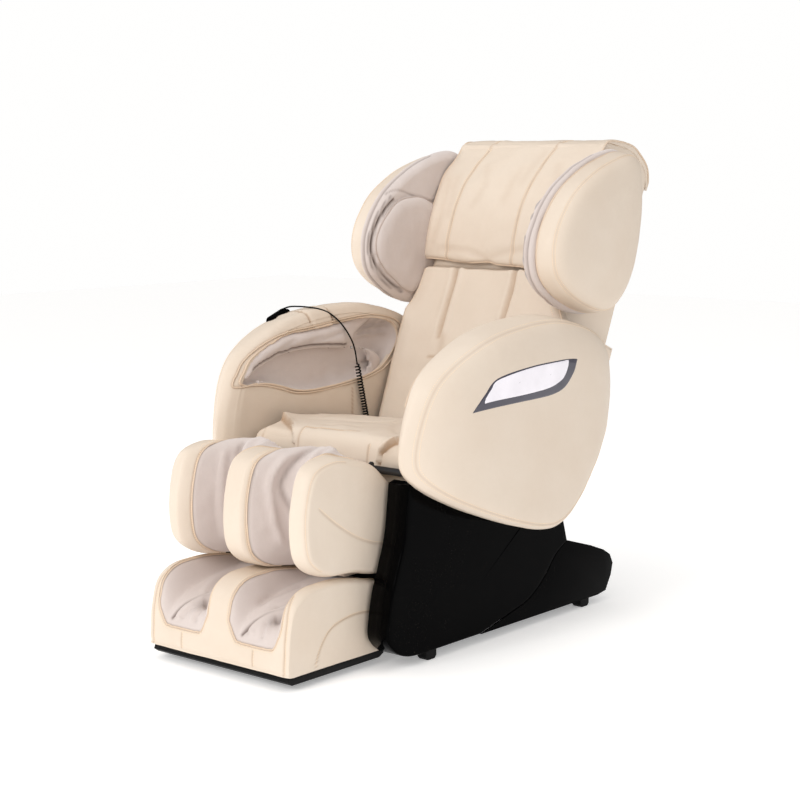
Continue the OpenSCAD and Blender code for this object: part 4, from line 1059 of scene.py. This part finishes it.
def make_pillow():
    along, across, half = 150, 110, 215
    outer, inner = spline(hood_out, 12), spline(hood_in, 12)
    s = np.concatenate([[0], np.cumsum(np.linalg.norm(np.diff(outer, axis=0), axis=1))])
    at = np.linspace(0, s[-1], along)
    outer, inner = [np.stack([np.interp(at, s, line[:, k]) for k in (0, 1)], 1)
                    for line in (outer, inner)]
    x = half * packed(across, 1.25)
    full = mix(0.55, 1, dome((half - np.abs(x)) / 26))
    face, back = [], []
    for p, q, reached in zip(outer, inner, at):
        rear = 12.5 * np.cos(np.pi * x / (2 * half)) * ease((p[0] - 100) / 100)
        drop = ease(1 - reached / 180)
        n = mix(q[0], p[0], full) + rear
        u = mix(q[1], p[1], full) - drop * (9 * x / half - 5 * bell(x + 11, 22) + 3)
        face.append(np.column_stack([x, n, u]))
        back.append(np.column_stack([x, np.full(across, q[0]), q[1] - drop * 9 * x / half]))
    form = Form(in_back(np.vstack(face + back[::-1])), grid(2 * along, across))
    form = Form(form.verts, shut(form.faces, along, across))
    face = np.array(face)
    seams = [in_back([on_row(face[k], mix(low, high, ease((k - 2) / (along - 4) * 1.15)))
                      for k in range(2, along - 2)]) for low, high in ((-137, -112), (62, 84))]
    for line in seams:
        form.press(line, 3.2, 3.0, 0.5)
    form.lumps(75, 2.6, 21)
    form.press(in_back([[-12, -64, 436], [-12, -69, 452], [-13, -74, 470]]), 5.5, 7.0, 0.75)
    for fold, width, deep in (
            ([[-14, -66, 446], [-60, -70, 462], [-112, -68, 468], [-160, -64, 466]], 10, 3.4),
            ([[-8, -66, 446], [30, -72, 460], [80, -70, 470], [140, -66, 478]], 10, 3.4),
            ([[-190, -50, 470], [-176, -60, 560], [-186, -52, 650]], 12, 2.6),
            ([[-90, -60, 700], [-66, -72, 640], [-84, -76, 580]], 12, 1.6),
            ([[120, -50, 700], [150, -64, 620], [140, -70, 540]], 13, 2.4)):
        form.press(laid(form.tree(), spline(in_back(fold), 8)), width, deep, 0.10)
    for end in ((-40, -70, 462), (-24, -72, 478), (10, -72, 474), (26, -70, 460)):
        form.press(in_back([[-12, -66, 446], end]), 4.5, 2.0, 0.22)
    for ends in (((20, -60, 690), (8, -74, 600)), ((52, -30, 740), (40, -70, 650)),
                 ((-160, -62, 660), (-150, -72, 560)), ((150, -60, 660), (160, -72, 560))):
        form.press(spline(in_back(ends), 6), 14, 1.6, 0.12)
    # leather cheeks close the head's two sides under the hood
    edge = np.vstack([spline(hood_in[6:], 8), [[195, 700]], [[190, 640]], [[120, 600]],
                      [[40, 600]], [[-14, 640]], [[-14, 690]]])
    edge = evenly(edge, 160, True)
    cheeks = []
    for side in (-1, 1):
        rows = [at_x(side * x0, scaled(edge, cheek_middle, s)) for s, x0 in (
            (0.8, 190), (0.985, 196), (1.012, 204), (1.016, 209), (1.0, 212.5), (0.97, 214),
            (0.9, 214.6), (0.6, 215), (0.3, 215), (0.0, 215))]
        cheeks.append(rings(rows, in_back))
    piece("head_cheeks", join(*cheeks), "back", [cream])
    tree = form.tree()
    piece("pillow_hood", form, "back", [cream], ["head_pillow"])
    for line in seams:
        for shift in (-4.0, 4.0):
            sew("back", tree, line + [shift, 0, 0])
    for edge in (face[1:, 1], face[1:, -2], face[1, 1:-1]):
        pipe("back", laid(tree, in_back(edge), 0.6), 2.0)


# ---- back pad
def make_back_pad():
    along, across = 190, 110
    low, high = 8, 700
    us = np.linspace(low, high, along)
    half_line = np.interp(us, [8, 100, 212, 290, 318, 340, 372, 430, 700],
                          [229, 233, 235, 235.5, 235, 222, 213, 207, 200])
    face, back = [], []
    for u, half in zip(us, half_line):
        x = half * packed(across, 1.3)
        inward = half - np.abs(x)
        depth = mix(50, 22, ease((u - 422) / 20))
        r = dome(np.minimum(inward, min(u - low, high - u)) / 22)
        side_roll = 7 * bell(inward - 38, 26) * ease((u - 40) / 80)
        dish = 9 * (1 - np.exp(-((x / 150) ** 4))) * ease((u - 60) / 120)
        n = -depth + 20 * (1 - r) - side_roll * 0.4 - dish * 0.25
        face.append(np.column_stack([x, n, np.full(across, u)]))
        back.append(np.column_stack([x * 0.985, np.full(across, -2.0),
                                     np.full(across, np.clip(u, low + 3, high - 3))]))
    form = Form(in_back(np.vstack(face + back[::-1])), grid(2 * along, across))
    form = Form(form.verts, shut(form.faces, along, across))
    for x0, end in ((-99, 250), (78, 300)):
        line = spline(in_back([[x0 - 1, -50, 452], [x0 + 2, -50, 392], [x0, -50, 330],
                               [x0 - 2, -50, end]]), 8)
        form.press(line, 6, 7, 0.6)
        form.press(line + [13, 0, 0], 9, -5)
        form.press(line + [-15, 0, 0], 9, -3)
    for x0 in (-88, 88):
        line = spline(in_back([[x0, -50, 250], [x0 * 1.02, -50, 130], [x0 * 1.04, -50, 40]]), 8)
        form.press(line, 10, 3.0, 0.2)
    for xa, ua, xb, ub in ((-115, 197, -96, 199), (55, 251, 75, 252), (-80, 116, -60, 118),
                           (95, 150, 75, 151)):
        form.press(in_back([[xa, -50, ua], [xb, -50, ub]]), 4, 3, 0.55)
    form.lumps(85, 2.2, 31, np.arange(len(form.verts)) < along * across)
    tree = form.tree()
    piece("back_cushion", form, "back", [cream], ["back_pad"])
    face = np.array(face)
    for col, way in ((0, 1), (-1, -1)):
        pipe("back", laid(tree, in_back(face[2:-2, col] + [0, -6, 0]), 0.4), 2.3)
        sew("back", tree, in_back(face[4:-4, col] + [way * 17, -18, 0]))


# ---- seat
slope = math.radians(5.5)
seat_y, seat_z = -299, 456


def in_seat(p):
    """Points of the seat's own frame in the row frame"""
    p = np.asarray(p, float)
    return np.column_stack([
        p[:, 0], seat_y + p[:, 1] * math.cos(slope) + p[:, 2] * math.sin(slope),
        seat_z - p[:, 1] * math.sin(slope) + p[:, 2] * math.cos(slope)])


def make_seat():
    """The crowned seat cushion with its rounded rim"""
    across, along, half, near, far, rim = 100, 90, 226, 1, 386, 26
    x = half * packed(across, 1.3)
    face, back = [], []
    for y in (near + far) / 2 + (far - near) / 2 * packed(along, 1.3):
        r = dome(np.minimum(half - np.abs(x), min(y - near, far - y)) / rim)
        crown = 16.0 * np.cos(np.radians(80 * x / half)) * math.sin(
            math.pi * min(max((y - near) / (far - near), 0), 1))
        face.append(np.column_stack([x, np.full(across, y), crown - rim * (1 - r)]))
        back.append(np.column_stack([x * 0.99, np.full(across, np.clip(y, near + 2, far - 2)),
                                     np.full(across, -92)]))
    form = Form(in_seat(np.vstack(face + back[::-1])),
                shut(grid(2 * along, across), along, across))
    form.lumps(70, 1.5, 41)
    for x0 in (-206, 206):
        form.press(spline([[x0, -297, 470], [x0, -300, 430], [x0, -300, 385]], 8), 3, 1.5, 0.5)
    piece("seat_base_cushion", form, "base", [cream], ["seat_cushion"])


def make_seat_cover():
    """The loose pad over the seat: its front drops over the cushion's nose"""
    count, along, thick = 100, 90, 7.0
    path = smooth([[-5.2, -74], [-5.4, -50], [-5.4, -28], [-3.4, -10], [4, 2.5], [17, 9],
                   [50, 14], [120, 19], [200, 21], [290, 18], [370, 10]], along)
    tangent = np.gradient(path, axis=0)
    tangent /= np.linalg.norm(tangent, axis=1, keepdims=True)
    normal = np.column_stack([-tangent[:, 1], tangent[:, 0]])
    top, low, shades = [], [], []
    for k, (p, up) in enumerate(zip(path, normal)):
        t = k / (along - 1)
        half = mix(206, 214, ease(t * 2))
        x = half * packed(count, 1.3)
        inward = half - np.abs(x)
        r = dome(inward / 7) * min(1, (k + 0.4) / 3)
        hump = 10 * np.cos(np.radians(80 * x / half)) * bell(t - 0.62, 0.3)
        curl = 9 * bell(inward, 20) * bell(t - 0.36, 0.08)
        # the front corners are tucked away below a curled lip
        edge = np.interp(x, [-214, -196, -160, -125, -100, -88, 128, 150, 180, 214],
                         [0.33, 0.315, 0.26, 0.20, 0.13, -0.2, -0.2, 0.12, 0.20, 0.25])
        over = t - edge
        lip = np.where(over > 0, 5.5 * bell(over, 0.035), 0)
        tuck = 12 * ease(-over / 0.012 + 0.3)
        lift = hump + curl + lip - tuck
        # painted shade in the tuck below the lip
        shades.append(0.9 * bell(over + 0.008, 0.012))
        for rows, share in ((top, 0.6), (low, -0.4)):
            out = lift + thick * r * share
            rows.append(np.column_stack([x, p[0] + up[0] * out, p[1] + up[1] * out]))
    cover = Form(in_seat(np.vstack(top + low[::-1])),
                 shut(grid(2 * along, count), along, count))
    cover.shade = np.concatenate(shades + [np.zeros(count)] * along)

    def over_top(run):
        """The line through [x, row] places of the cover's top"""
        return in_seat([on_row(top[int(round(row))], x0) for x0, row in run])

    for run in ([(-86, k) for k in np.linspace(2, 18, 20)],
                [(x0, 18 + 2 * (x0 + 86) / 150) for x0 in np.linspace(-86, 64, 24)],
                [(118, k) for k in np.linspace(2, 13, 14)]):
        line = over_top(run)
        cover.press(line, 2.6, 1.6, 0.5)
        sew("base", cover.tree(), line + [4.5, 0, 0.5])
    for run, width, deep in ((((-150, 32), (-80, 36), (0, 40), (60, 48)), 10, 3.2),
                             (((150, 26), (110, 32), (70, 42), (40, 52)), 10, 3.0),
                             (((-60, 24), (-20, 27), (40, 28)), 9, 2.2),
                             (((-130, 40), (-110, 52), (-60, 60)), 12, 2.6)):
        cover.press(spline(over_top(run), 8), width, deep, 0.12)
    cover.lumps(60, 2.0, 43)
    tree = cover.tree()
    piece("seat_cover_pad", cover, "base", [cream])
    top = np.array(top)
    for col in (0, -1):
        pipe("base", laid(tree, in_seat(top[2:-2, col]), 0.5), 1.5)


# ---- leg rest
x_leg = 203
beyond_leg = 300.0
calf_points = [[-352, 189], [-440, 204], [-527, 211], [-584, 243], [-602, 294], [-598, 372],
               [-572, 436], [-510, 455], [-455, 447], [-387, 430], [-342, 396], [-306, 352],
               [-312, 296], [-334, 228]]
calf_middle = np.array([-450.0, 320.0])
calf_edge = 33, 147
room_edges = [22, 22.5, 129, 129.5, 143, 143.5, 149.5, 150]
calf_folds = (([[58, 452], [50, 400], [54, 330], [60, 260]], 8, -7),
              ([[72, 452], [64, 420], [60, 380], [74, 320]], 6, 6),
              ([[104, 452], [92, 425], [76, 395], [70, 350], [80, 300], [92, 240]], 9, -8),
              ([[114, 445], [106, 420], [90, 390], [84, 350], [94, 300]], 7, 8),
              ([[128, 440], [124, 380], [122, 300], [120, 240]], 10, -5))


def well(x, inner, outer, soft):
    return ease((abs(x) - inner) / soft) * ease((outer - abs(x)) / soft)


def calf_ring(x, outline):
    """One slice of the leg rest at x, before its inner room is cut away"""
    q = scaled(outline, calf_middle, mix(0.87, 1, dome((x_leg - abs(x)) / 36)))
    w = 112 * well(x, 20, x_leg - 36, 60)
    return np.column_stack([q[:, 0] + w * ease((-340 - q[:, 0]) / 230), q[:, 1]])


def calf_room(x, q):
    """Keeps the slice out of the room for the frame and its rods"""
    y, z = q[:, 0].copy(), q[:, 1].copy()
    if abs(x) < 150:
        deep = (y > -421) & (z < 372)
        wall = np.interp(z, [100, 345, 371], [-421, -421, -396])
        by_roof = (372 - z) < (y - wall)
        z = np.where(deep & by_roof & (y > wall), 372, z)
        y = np.where(deep & ~by_roof & (y > wall), wall, y)
    if abs(x) < 22 or abs(abs(x) - 136) < 7:
        way = np.interp(z, [364, 365, 392, 420, 470], [-250, -376, -366, -344, -250])
        y = np.where((z > 364) & (y > way), way, y)
    return np.column_stack([y, z])


def capped(rows, ends):
    """Slices across x with closed ends on both sides, and how far each step is from x 0"""
    rows = [at_x(-x, q) for x, q in ends[::-1]] + rows + [at_x(x, q) for x, q in ends]
    xs = np.abs([row[0, 0] for row in rows])
    return rows, (xs[:-1] + xs[1:]) / 2


def mirrored_steps(*parts):
    """Slice places on both sides of x 0"""
    half = np.unique(np.concatenate(parts))
    return np.concatenate([-half[::-1], half[1:]])


def towards_end(reach, count):
    """Slice places that crowd up to the rest's outer face"""
    return x_leg - reach * (1 - np.sin(np.linspace(0, np.pi / 2, count)))


def make_calf():
    count = 260
    outline = smooth(calf_points, count, True)
    xs = mirrored_steps(np.linspace(0, 24, 9), np.linspace(24, 168, 58), towards_end(36, 16),
                        room_edges, calf_edge)
    rows, middle_x = capped(
        [at_x(x, calf_room(x, calf_ring(x, outline))) for x in xs],
        [(x_leg + 3.0 * (1 - (s / 0.87) ** 2), scaled(outline, calf_middle, s))
         for s in np.linspace(0.85, 0, 36)])
    # the knit runs over the front and the top of the wells
    knit_strip = (middle_x > calf_edge[0]) & (middle_x < calf_edge[1])
    mid = (outline + np.roll(outline, -1, 0)) / 2
    front = (mid[:, 1] > 205) & ~((mid[:, 0] > -352) & (mid[:, 1] < 388))
    patches = (knit_strip[:, None] & front[None, :]).astype(int).ravel()
    form = rings(rows, patches=patches)
    seams = []
    for side in (-1, 1):
        for x0 in calf_edge:
            r = calf_ring(x0, outline)
            keep = (r[:, 1] > 207) & ~((r[:, 0] > -345) & (r[:, 1] < 392))
            line = order_run(at_x(side * x0, r), keep)
            seams.append((line, side if x0 > 100 else -side))
            form.press(line, 3.2, 2.0, 0.45)
    # soft upright folds of the knit in each well
    for side in (-1, 1):
        for fold, width, deep in calf_folds:
            line = []
            for x0, z0 in spline(fold, 6):
                ring = calf_ring(side * x0, outline)
                front = ring[ring[:, 0] < -400]
                line.append([side * x0, *front[np.argmin(abs(front[:, 1] - z0))]])
            form.press(line, width, deep, 0.3 if deep > 0 else 0)
    across = np.abs(form.verts[:, 0])
    form.lumps(50, 1.6, 51, (across > calf_edge[0]) & (across < calf_edge[1]))
    form.lumps(80, 0.9, 52)
    # curved seam and rim seam on each outer face
    tree = form.tree()
    rim = scaled(outline, calf_middle, 0.93)
    arc = spline([[-556, 358], [-509, 322], [-448, 285], [-386, 262], [-325, 252]], 10)
    side_seams = []
    for side in (-1, 1):
        for run, deep, dark in (
                (arc, 1.3, 0.3),
                (order_run(rim, (rim[:, 0] < -470) & (rim[:, 1] > 228)), 1.0, 0.25)):
            line = cast_x(tree, run, side * beyond_leg)
            form.press(line, 2.2, deep, dark)
            side_seams.append(line)
    tree = form.tree()
    piece("calf_rest", form, "leg_rest", [cream, mauve], ["calf_cushion"])
    for line in side_seams:
        sew("leg_rest", tree, line + [0, 0, 3.5])
    for line, out in seams:
        pipe("leg_rest", laid(tree, line, 0.6), 1.7)
        for shift in (5.5, 11):
            sew("leg_rest", tree, line + [out * shift, 0, 0])


# ---- foot unit
foot_base = 30.0
foot_points = [[-350, 30], [-500, 30], [-636, 30], [-650, 42], [-649, 78], [-646, 116],
               [-634, 164], [-613, 188], [-584, 200], [-545, 203], [-500, 203], [-455, 197],
               [-400, 186], [-362, 177], [-352, 160], [-348, 90]]
well_floor = [[-350, 30], [-500, 30], [-636, 30], [-650, 42], [-649, 70], [-643, 84],
              [-628, 110], [-604, 130], [-570, 146], [-530, 158], [-490, 166], [-450, 172],
              [-415, 176], [-372, 176], [-352, 160], [-348, 90]]


foot_edge = 31.5, 177.5
foot_middle = 104


def foot_slice(x, outer, floor):
    """One slice of the foot unit at x, its outline sunk to the well's floor in a well"""
    e = dome((x_leg - abs(x)) / 26)
    p = mix(outer, floor, well(x, 27, x_leg - 21, 30))
    return scaled(p, np.array([-500.0, foot_base]), [mix(0.97, 1, e), mix(0.93, 1, e)])


def sill(x):
    """Where the knit starts along a slice, later towards the well's two sides"""
    return 4.75 + 0.35 * np.abs((x - 104.5) / 70) ** 4


def make_foot():
    steps = 14
    outer, floor = spline(foot_points, steps, True), spline(well_floor, steps, True)
    # keep the flat base flat
    for line in (outer, floor):
        line[:, 1] = np.maximum(line[:, 1], foot_base)
    count = len(outer)
    xs = mirrored_steps(np.linspace(0, 182, 105), foot_edge, towards_end(26, 14))
    end = foot_slice(x_leg, outer, floor)
    rows, middle_x = capped(
        [at_x(x, foot_slice(x, outer, floor)) for x in xs],
        [(x_leg + 2.4 * (1 - s * s), scaled(end, np.array([-500.0, 110.0]), s))
         for s in np.linspace(0.98, 0, 34)])
    k = np.arange(count) / steps
    in_well = (middle_x > foot_edge[0]) & (middle_x < foot_edge[1])
    over = (k[None, :] >= sill(middle_x)[:, None]) & (k < 13.2)[None, :]
    patches = (in_well[:, None] & over).astype(int).ravel()
    form = rings(rows, patches=patches)
    rims = []
    for side in (-1, 1):
        # the rim of each well: up one side, across the front, down the other
        inner_x, outer_x = foot_edge
        near, far = 5.2 * steps, 13.0 * steps
        up = [[side * outer_x, *foot_slice(outer_x, outer, floor)[int(t)]]
              for t in np.arange(far, near, -4)]
        front = [[side * x, *foot_slice(x, outer, floor)[int(sill(x) * steps)]]
                 for x in np.linspace(174, 35, 30)]
        down = [[side * inner_x, *foot_slice(inner_x, outer, floor)[int(t)]]
                for t in np.arange(near, far, 4)]
        line = laid(form.tree(), smooth(up + front + down, 170))
        rims.append((line, side))
        form.press(line, 3.0, 2.0, 0.45)
        # the pad's folded edge across the well, and the creases that run to the rim
        mid = side * foot_middle
        low = mid - 40
        # a sunk hollow beside the fold, darkened with painted shade
        hole = spline([[low + 58, -606, 128], [low + 82, -588, 140], [low + 96, -562, 150]], 8)
        form.press(laid(form.tree(), hole), 17, 11, 0.5)
        slit = laid(form.tree(), spline([[low, -640, 96], [low + 18, -612, 124],
                                         [low + 44, -586, 141], [low + 78, -560, 150]], 8))
        form.press(slit + [9, 11, 0], 8, -6)
        form.press(slit, 3.6, 6, 0.85)
        for fold, width, deep in (
                (((-58, -560), (-34, -500), (-22, -440)), 9, 5),
                (((-6, -560), (14, -510), (18, -450)), 10, 5),
                (((-30, -640), (-26, -618), (-36, -600)), 6, 3),
                (((14, -642), (10, -620), (-4, -592)), 6, 3.5)):
            crease = spline([[mid + side * x0, y0, 100] for x0, y0 in fold], 8)
            crease = laid(form.tree(), crease)
            form.press(crease, width, deep, 0.06)
            form.press(crease + [side * 13, 0, 0], width, -3)
    tree = form.tree()
    arc = spline([[-568, 38], [-562, 61], [-541, 94], [-511, 113], [-458, 123], [-402, 120],
                  [-356, 116]], 8)
    seams = []
    for side in (-1, 1):
        corner = spline([[side * 192, -660, 40], [side * 193, -660, 80], [side * 194, -658, 120],
                         [side * 192, -650, 160], [side * 184, -622, 205]], 6)
        front = [[side * foot_middle, -700, z] for z in np.linspace(40, 70, 12)]
        for line, deep, dark in ((laid(tree, corner), 1.6, 0.5),
                                 (cast_x(tree, arc, side * beyond_leg), 1.6, 0.5),
                                 (cast(tree, front, (0, 1, 0)), 1.2, 0.45)):
            form.press(line, 2.4, deep, dark)
            seams.append(line)
    form.lumps(80, 0.8, 61)
    tree = form.tree()
    piece("foot_rest", form, "foot_unit", [cream, mauve], ["foot_cushion"])
    for line in seams:
        sew("foot_unit", tree, line + [3.5, 0, 2.5])
    for line, side in rims:
        pipe("foot_unit", laid(tree, line, 0.7), 1.8)
        out = (line - [side * foot_middle, -500, 140.0]) * [1, 0.3, 1]
        out /= np.linalg.norm(out, axis=1, keepdims=True)
        sew("foot_unit", tree, line + out * 6)


# ---- stitches: one row of short threads along a line, by Geometry Nodes
def stitch_tree():
    tree = bpy.data.node_groups.new("stitch_row", "GeometryNodeTree")
    face = tree.interface
    face.new_socket("Geometry", in_out="INPUT", socket_type="NodeSocketGeometry")
    for name, value in (("Pitch", 0.0048), ("Thread Length", 0.0034), ("Thread Radius", 0.00045)):
        s = face.new_socket(name, in_out="INPUT", socket_type="NodeSocketFloat")
        s.default_value = value
    face.new_socket("Thread", in_out="INPUT", socket_type="NodeSocketMaterial")
    face.new_socket("Geometry", in_out="OUTPUT", socket_type="NodeSocketGeometry")
    new = tree.nodes.new
    start, end = new("NodeGroupInput"), new("NodeGroupOutput")
    curve = new("GeometryNodeMeshToCurve")
    even = new("GeometryNodeResampleCurve")
    even.mode = "LENGTH"
    spots = new("GeometryNodeCurveToPoints")
    spots.mode = "EVALUATED"
    put = new("GeometryNodeInstanceOnPoints")
    one = new("GeometryNodeMeshUVSphere")
    one.inputs["Segments"].default_value = 5
    one.inputs["Rings"].default_value = 4
    one.inputs["Radius"].default_value = 1.0
    size = new("ShaderNodeCombineXYZ")
    half = new("ShaderNodeMath")
    half.operation = "MULTIPLY"
    half.inputs[1].default_value = 0.5
    shape = new("GeometryNodeTransform")
    real = new("GeometryNodeRealizeInstances")
    coat = new("GeometryNodeSetMaterial")
    for a, out, b, into in (
            (start, "Geometry", curve, "Mesh"), (curve, "Curve", even, "Curve"),
            (start, "Pitch", even, "Length"), (even, "Curve", spots, "Curve"),
            (start, "Thread Length", half, 0), (start, "Thread Radius", size, "X"),
            (start, "Thread Radius", size, "Y"), (half, 0, size, "Z"),
            (one, "Mesh", shape, "Geometry"), (size, 0, shape, "Scale"),
            (spots, "Points", put, "Points"), (spots, "Rotation", put, "Rotation"),
            (shape, "Geometry", put, "Instance"), (put, "Instances", real, "Geometry"),
            (real, "Geometry", coat, "Geometry"), (start, "Thread", coat, "Material"),
            (coat, "Geometry", end, "Geometry")):
        tree.links.new(a.outputs[out], b.inputs[into])
    return tree


def sew_all():
    tree = stitch_tree()
    sockets = {s.name: s.identifier for s in tree.interface.items_tree if s.in_out == "INPUT"}
    for body in dict.fromkeys(owner for owner, _ in stitches):
        verts, edges = [], []
        for line in [line for owner, line in stitches if owner == body]:
            base = len(verts)
            verts += (line / 1000).tolist()
            edges += [(base + k, base + k + 1) for k in range(len(line) - 1)]
        mesh = bpy.data.meshes.new("stitches_" + body)
        mesh.from_pydata(verts, edges, [])
        obj = placed("stitches_" + body, mesh)
        mod = obj.modifiers.new("stitches", "NODES")
        mod.node_group = tree
        mod[sockets["Thread"]] = thread
        mod[sockets["Pitch"]] = 0.0052
        bpy.context.view_layer.update()
        done = applied(obj)
        obj.modifiers.clear()
        obj.data = done
        settle(obj, body)


def lay_piping():
    for kind in dict.fromkeys((body, slot) for body, _, slot in pipes):
        body, slot = kind
        forms = [form for owner, form, of in pipes if (owner, of) == kind]
        piece(f"piping_{body}_{slot}", join(*forms), body, [pipe_finish[slot]])


# ---- hard covers
panel_edge = [[-300, 21], [-330, 21.5], [-360, 25], [-388, 35], [-410, 52], [-424, 72],
              [-424, 96], [-413, 157], [-392, 216], [-372, 275], [-363, 340], [-357, 392]]
panel_rear = [[196, 345], [202, 233], [220, 176]]
crease_line = [[220, 176], [175, 152], [130, 106], [70, 66], [0, 47], [-110, 21]]
panel_middle = np.array([-110.0, 138.0])
x_panel, panel_wall = 272, 4.0


def make_panel(side):
    """Side panel with a rounded rim, its top carried on behind the arm"""
    under = scaled(smooth(arm_points, 400, True), arm_middle, 0.95)
    under = under[(under[:, 1] < 392) & (under[:, 0] < 200)]
    under = under[np.argsort(under[:, 0])]
    outline = np.vstack([spline(panel_edge, 6)[:-1], under, evenly(panel_rear, 30)[:-1],
                         spline(crease_line, 6)[:-1], evenly([[-110, 21], [-300, 21]], 30)[:-1]])
    outline = evenly(outline, 700, True)
    reach = np.linalg.norm(outline - panel_middle, axis=1)[:, None]
    deep = mix(9.0, 56.0, ease((-296 - outline[:, 0]) / 8))
    rim = 5.0

    def ring(x, off):
        return at_x(x, scaled(outline, panel_middle, 1 - off / reach))

    rows = [ring(x_panel - deep, 0.0)]
    rows += [ring(x_panel - rim * (1 - math.sin(a)), rim * (1 - math.cos(a)))
             for a in np.linspace(0, np.pi / 2, 7)]
    rows += [ring(x_panel, rim + (reach - rim) * t) for t in np.linspace(0, 1, 24)[1:]]
    rows += [ring(x_panel - panel_wall, panel_wall + (reach - panel_wall) * t)
             for t in np.linspace(1, 0, 8)]
    rows += [ring(x_panel - deep, panel_wall), rows[0]]
    form = rings(rows)
    piece("panel_" + tags[side], form.on_side(side), "base", [black_gloss],
          ["base_panel_" + tags[side]])


def make_back_skirt():
    """Leather over the sides of the back between the wings and the arms"""
    forms = []
    for x_in, thick, edge in (
            (235.3, 2.5, [[-2, 60], [140, 60], [172, 90], [186, 200], [189.5, 318], [-2, 318]]),
            (212.6, 25.2, [[-2, 318.3], [189.5, 318.3], [189.5, 321.7], [-2, 321.7]]),
            (212.3, 2.5, [[-2, 322], [189.5, 322], [190.5, 420], [190, 600], [186, 722],
                          [40, 722], [-2, 640]])):
        outline = evenly(edge, 240, True)
        middle = outline.mean(0)
        for side in (-1, 1):
            rows = [at_x(side * (x_in + x), scaled(outline, middle, s)) for x, s in (
                (0, 0), (0, 0.99), (0.8, 1.0), (thick - 1.1, 1.0), (thick - 0.3, 0.992),
                (thick - 0.1, 0.98), (thick, 0.8), (thick, 0.5), (thick, 0.2), (thick, 0))]
            forms.append(rings(rows, in_back))
    piece("back_skirt", join(*forms), "back", [cream])


# ---- the frame's own pieces get their finishes
def finish_nodes():
    """Give every node of the frame the finish of its slot"""
    slots = {part["node"]: part["material_slot"] for part in frame["record"]["subparts"]}
    for name, obj in frame["nodes"].items():
        obj.data.materials.clear()
        obj.data.materials.append(slot_finish[slots[name]])
        obj.data.set_sharp_from_angle(angle=math.radians(32))
    for name, width, segments in (("tail_cover", 0.004, 4), ("front_cover", 0.003, 3),
                                  ("foot_plate", 0.003, 3), ("handset", 0.0025, 3),
                                  ("back_cover", 0.004, 3)):
        bevelled(name, slots[name], width, segments)


# ---- floor and light
def make_stage():
    mesh = bpy.data.meshes.new("floor")
    mesh.from_pydata([(-9, -9, 0), (9, -9, 0), (9, 9, 0), (-9, 9, 0)], [], [(0, 1, 2, 3)])
    floor = placed("floor", mesh)
    f = Finish("floor")
    f.set(Base_Color=colour(250, 249, 248), Roughness=0.75, Specular_IOR_Level=0.1,
          Emission_Color=(1, 1, 1), Emission_Strength=0.30)
    mesh.materials.append(f.material)
    world = bpy.data.worlds.new("studio")
    world.use_nodes = True
    tree = world.node_tree
    sky = tree.nodes["Background"]
    sky.inputs["Color"].default_value = (1.0, 0.997, 0.99, 1)
    # the backdrop shows white, lights softly and is dim in glossy surfaces
    lit, dimmed = 0.76, -0.64
    path = tree.nodes.new("ShaderNodeLightPath")
    dim = tree.nodes.new("ShaderNodeMapRange")
    dim.inputs["To Min"].default_value = lit
    dim.inputs["To Max"].default_value = 1.0
    tree.links.new(path.outputs["Is Camera Ray"], dim.inputs["Value"])
    shine = tree.nodes.new("ShaderNodeMath")
    shine.operation = "MULTIPLY_ADD"
    shine.inputs[1].default_value = dimmed
    tree.links.new(path.outputs["Is Glossy Ray"], shine.inputs[0])
    tree.links.new(dim.outputs["Result"], shine.inputs[2])
    tree.links.new(shine.outputs[0], sky.inputs["Strength"])
    bpy.context.scene.world = world
    for name, place, aim, wide, high, power, tint in (
            ("key", (0.1, -3.6, 2.3), (0, 0, 0.5), 1.4, 1.4, 50, (1, 0.99, 0.98)),
            ("left", (-3.2, -0.4, 1.5), (0, 0, 0.5), 1.4, 1.8, 16, (1, 0.99, 0.98)),
            ("top", (0.2, 0.2, 3.4), (0, 0, 0.4), 1.4, 1.4, 13, (1, 0.99, 0.98)),
            ("strip", (3.2, -2.4, 1.0), (0.27, -0.38, 0.6), 0.12, 2.0, 5, (1, 1, 1))):
        data = bpy.data.lights.new(name, "AREA")
        data.shape = "RECTANGLE"
        data.size = wide
        data.size_y = high
        data.energy = power
        data.color = tint
        lamp = placed(name, data)
        lamp.location = place
        lamp.rotation_euler = (Vector(aim) - Vector(place)).to_track_quat("-Z", "Y").to_euler()


finish_nodes()
for side in (1, -1):
    make_arm(side)
for side in (1, -1):
    make_wing(side)
make_pillow()
make_back_pad()
make_seat()
make_seat_cover()
make_calf()
make_foot()
for side in (1, -1):
    make_panel(side)
make_back_skirt()
sew_all()
lay_piping()
make_stage()
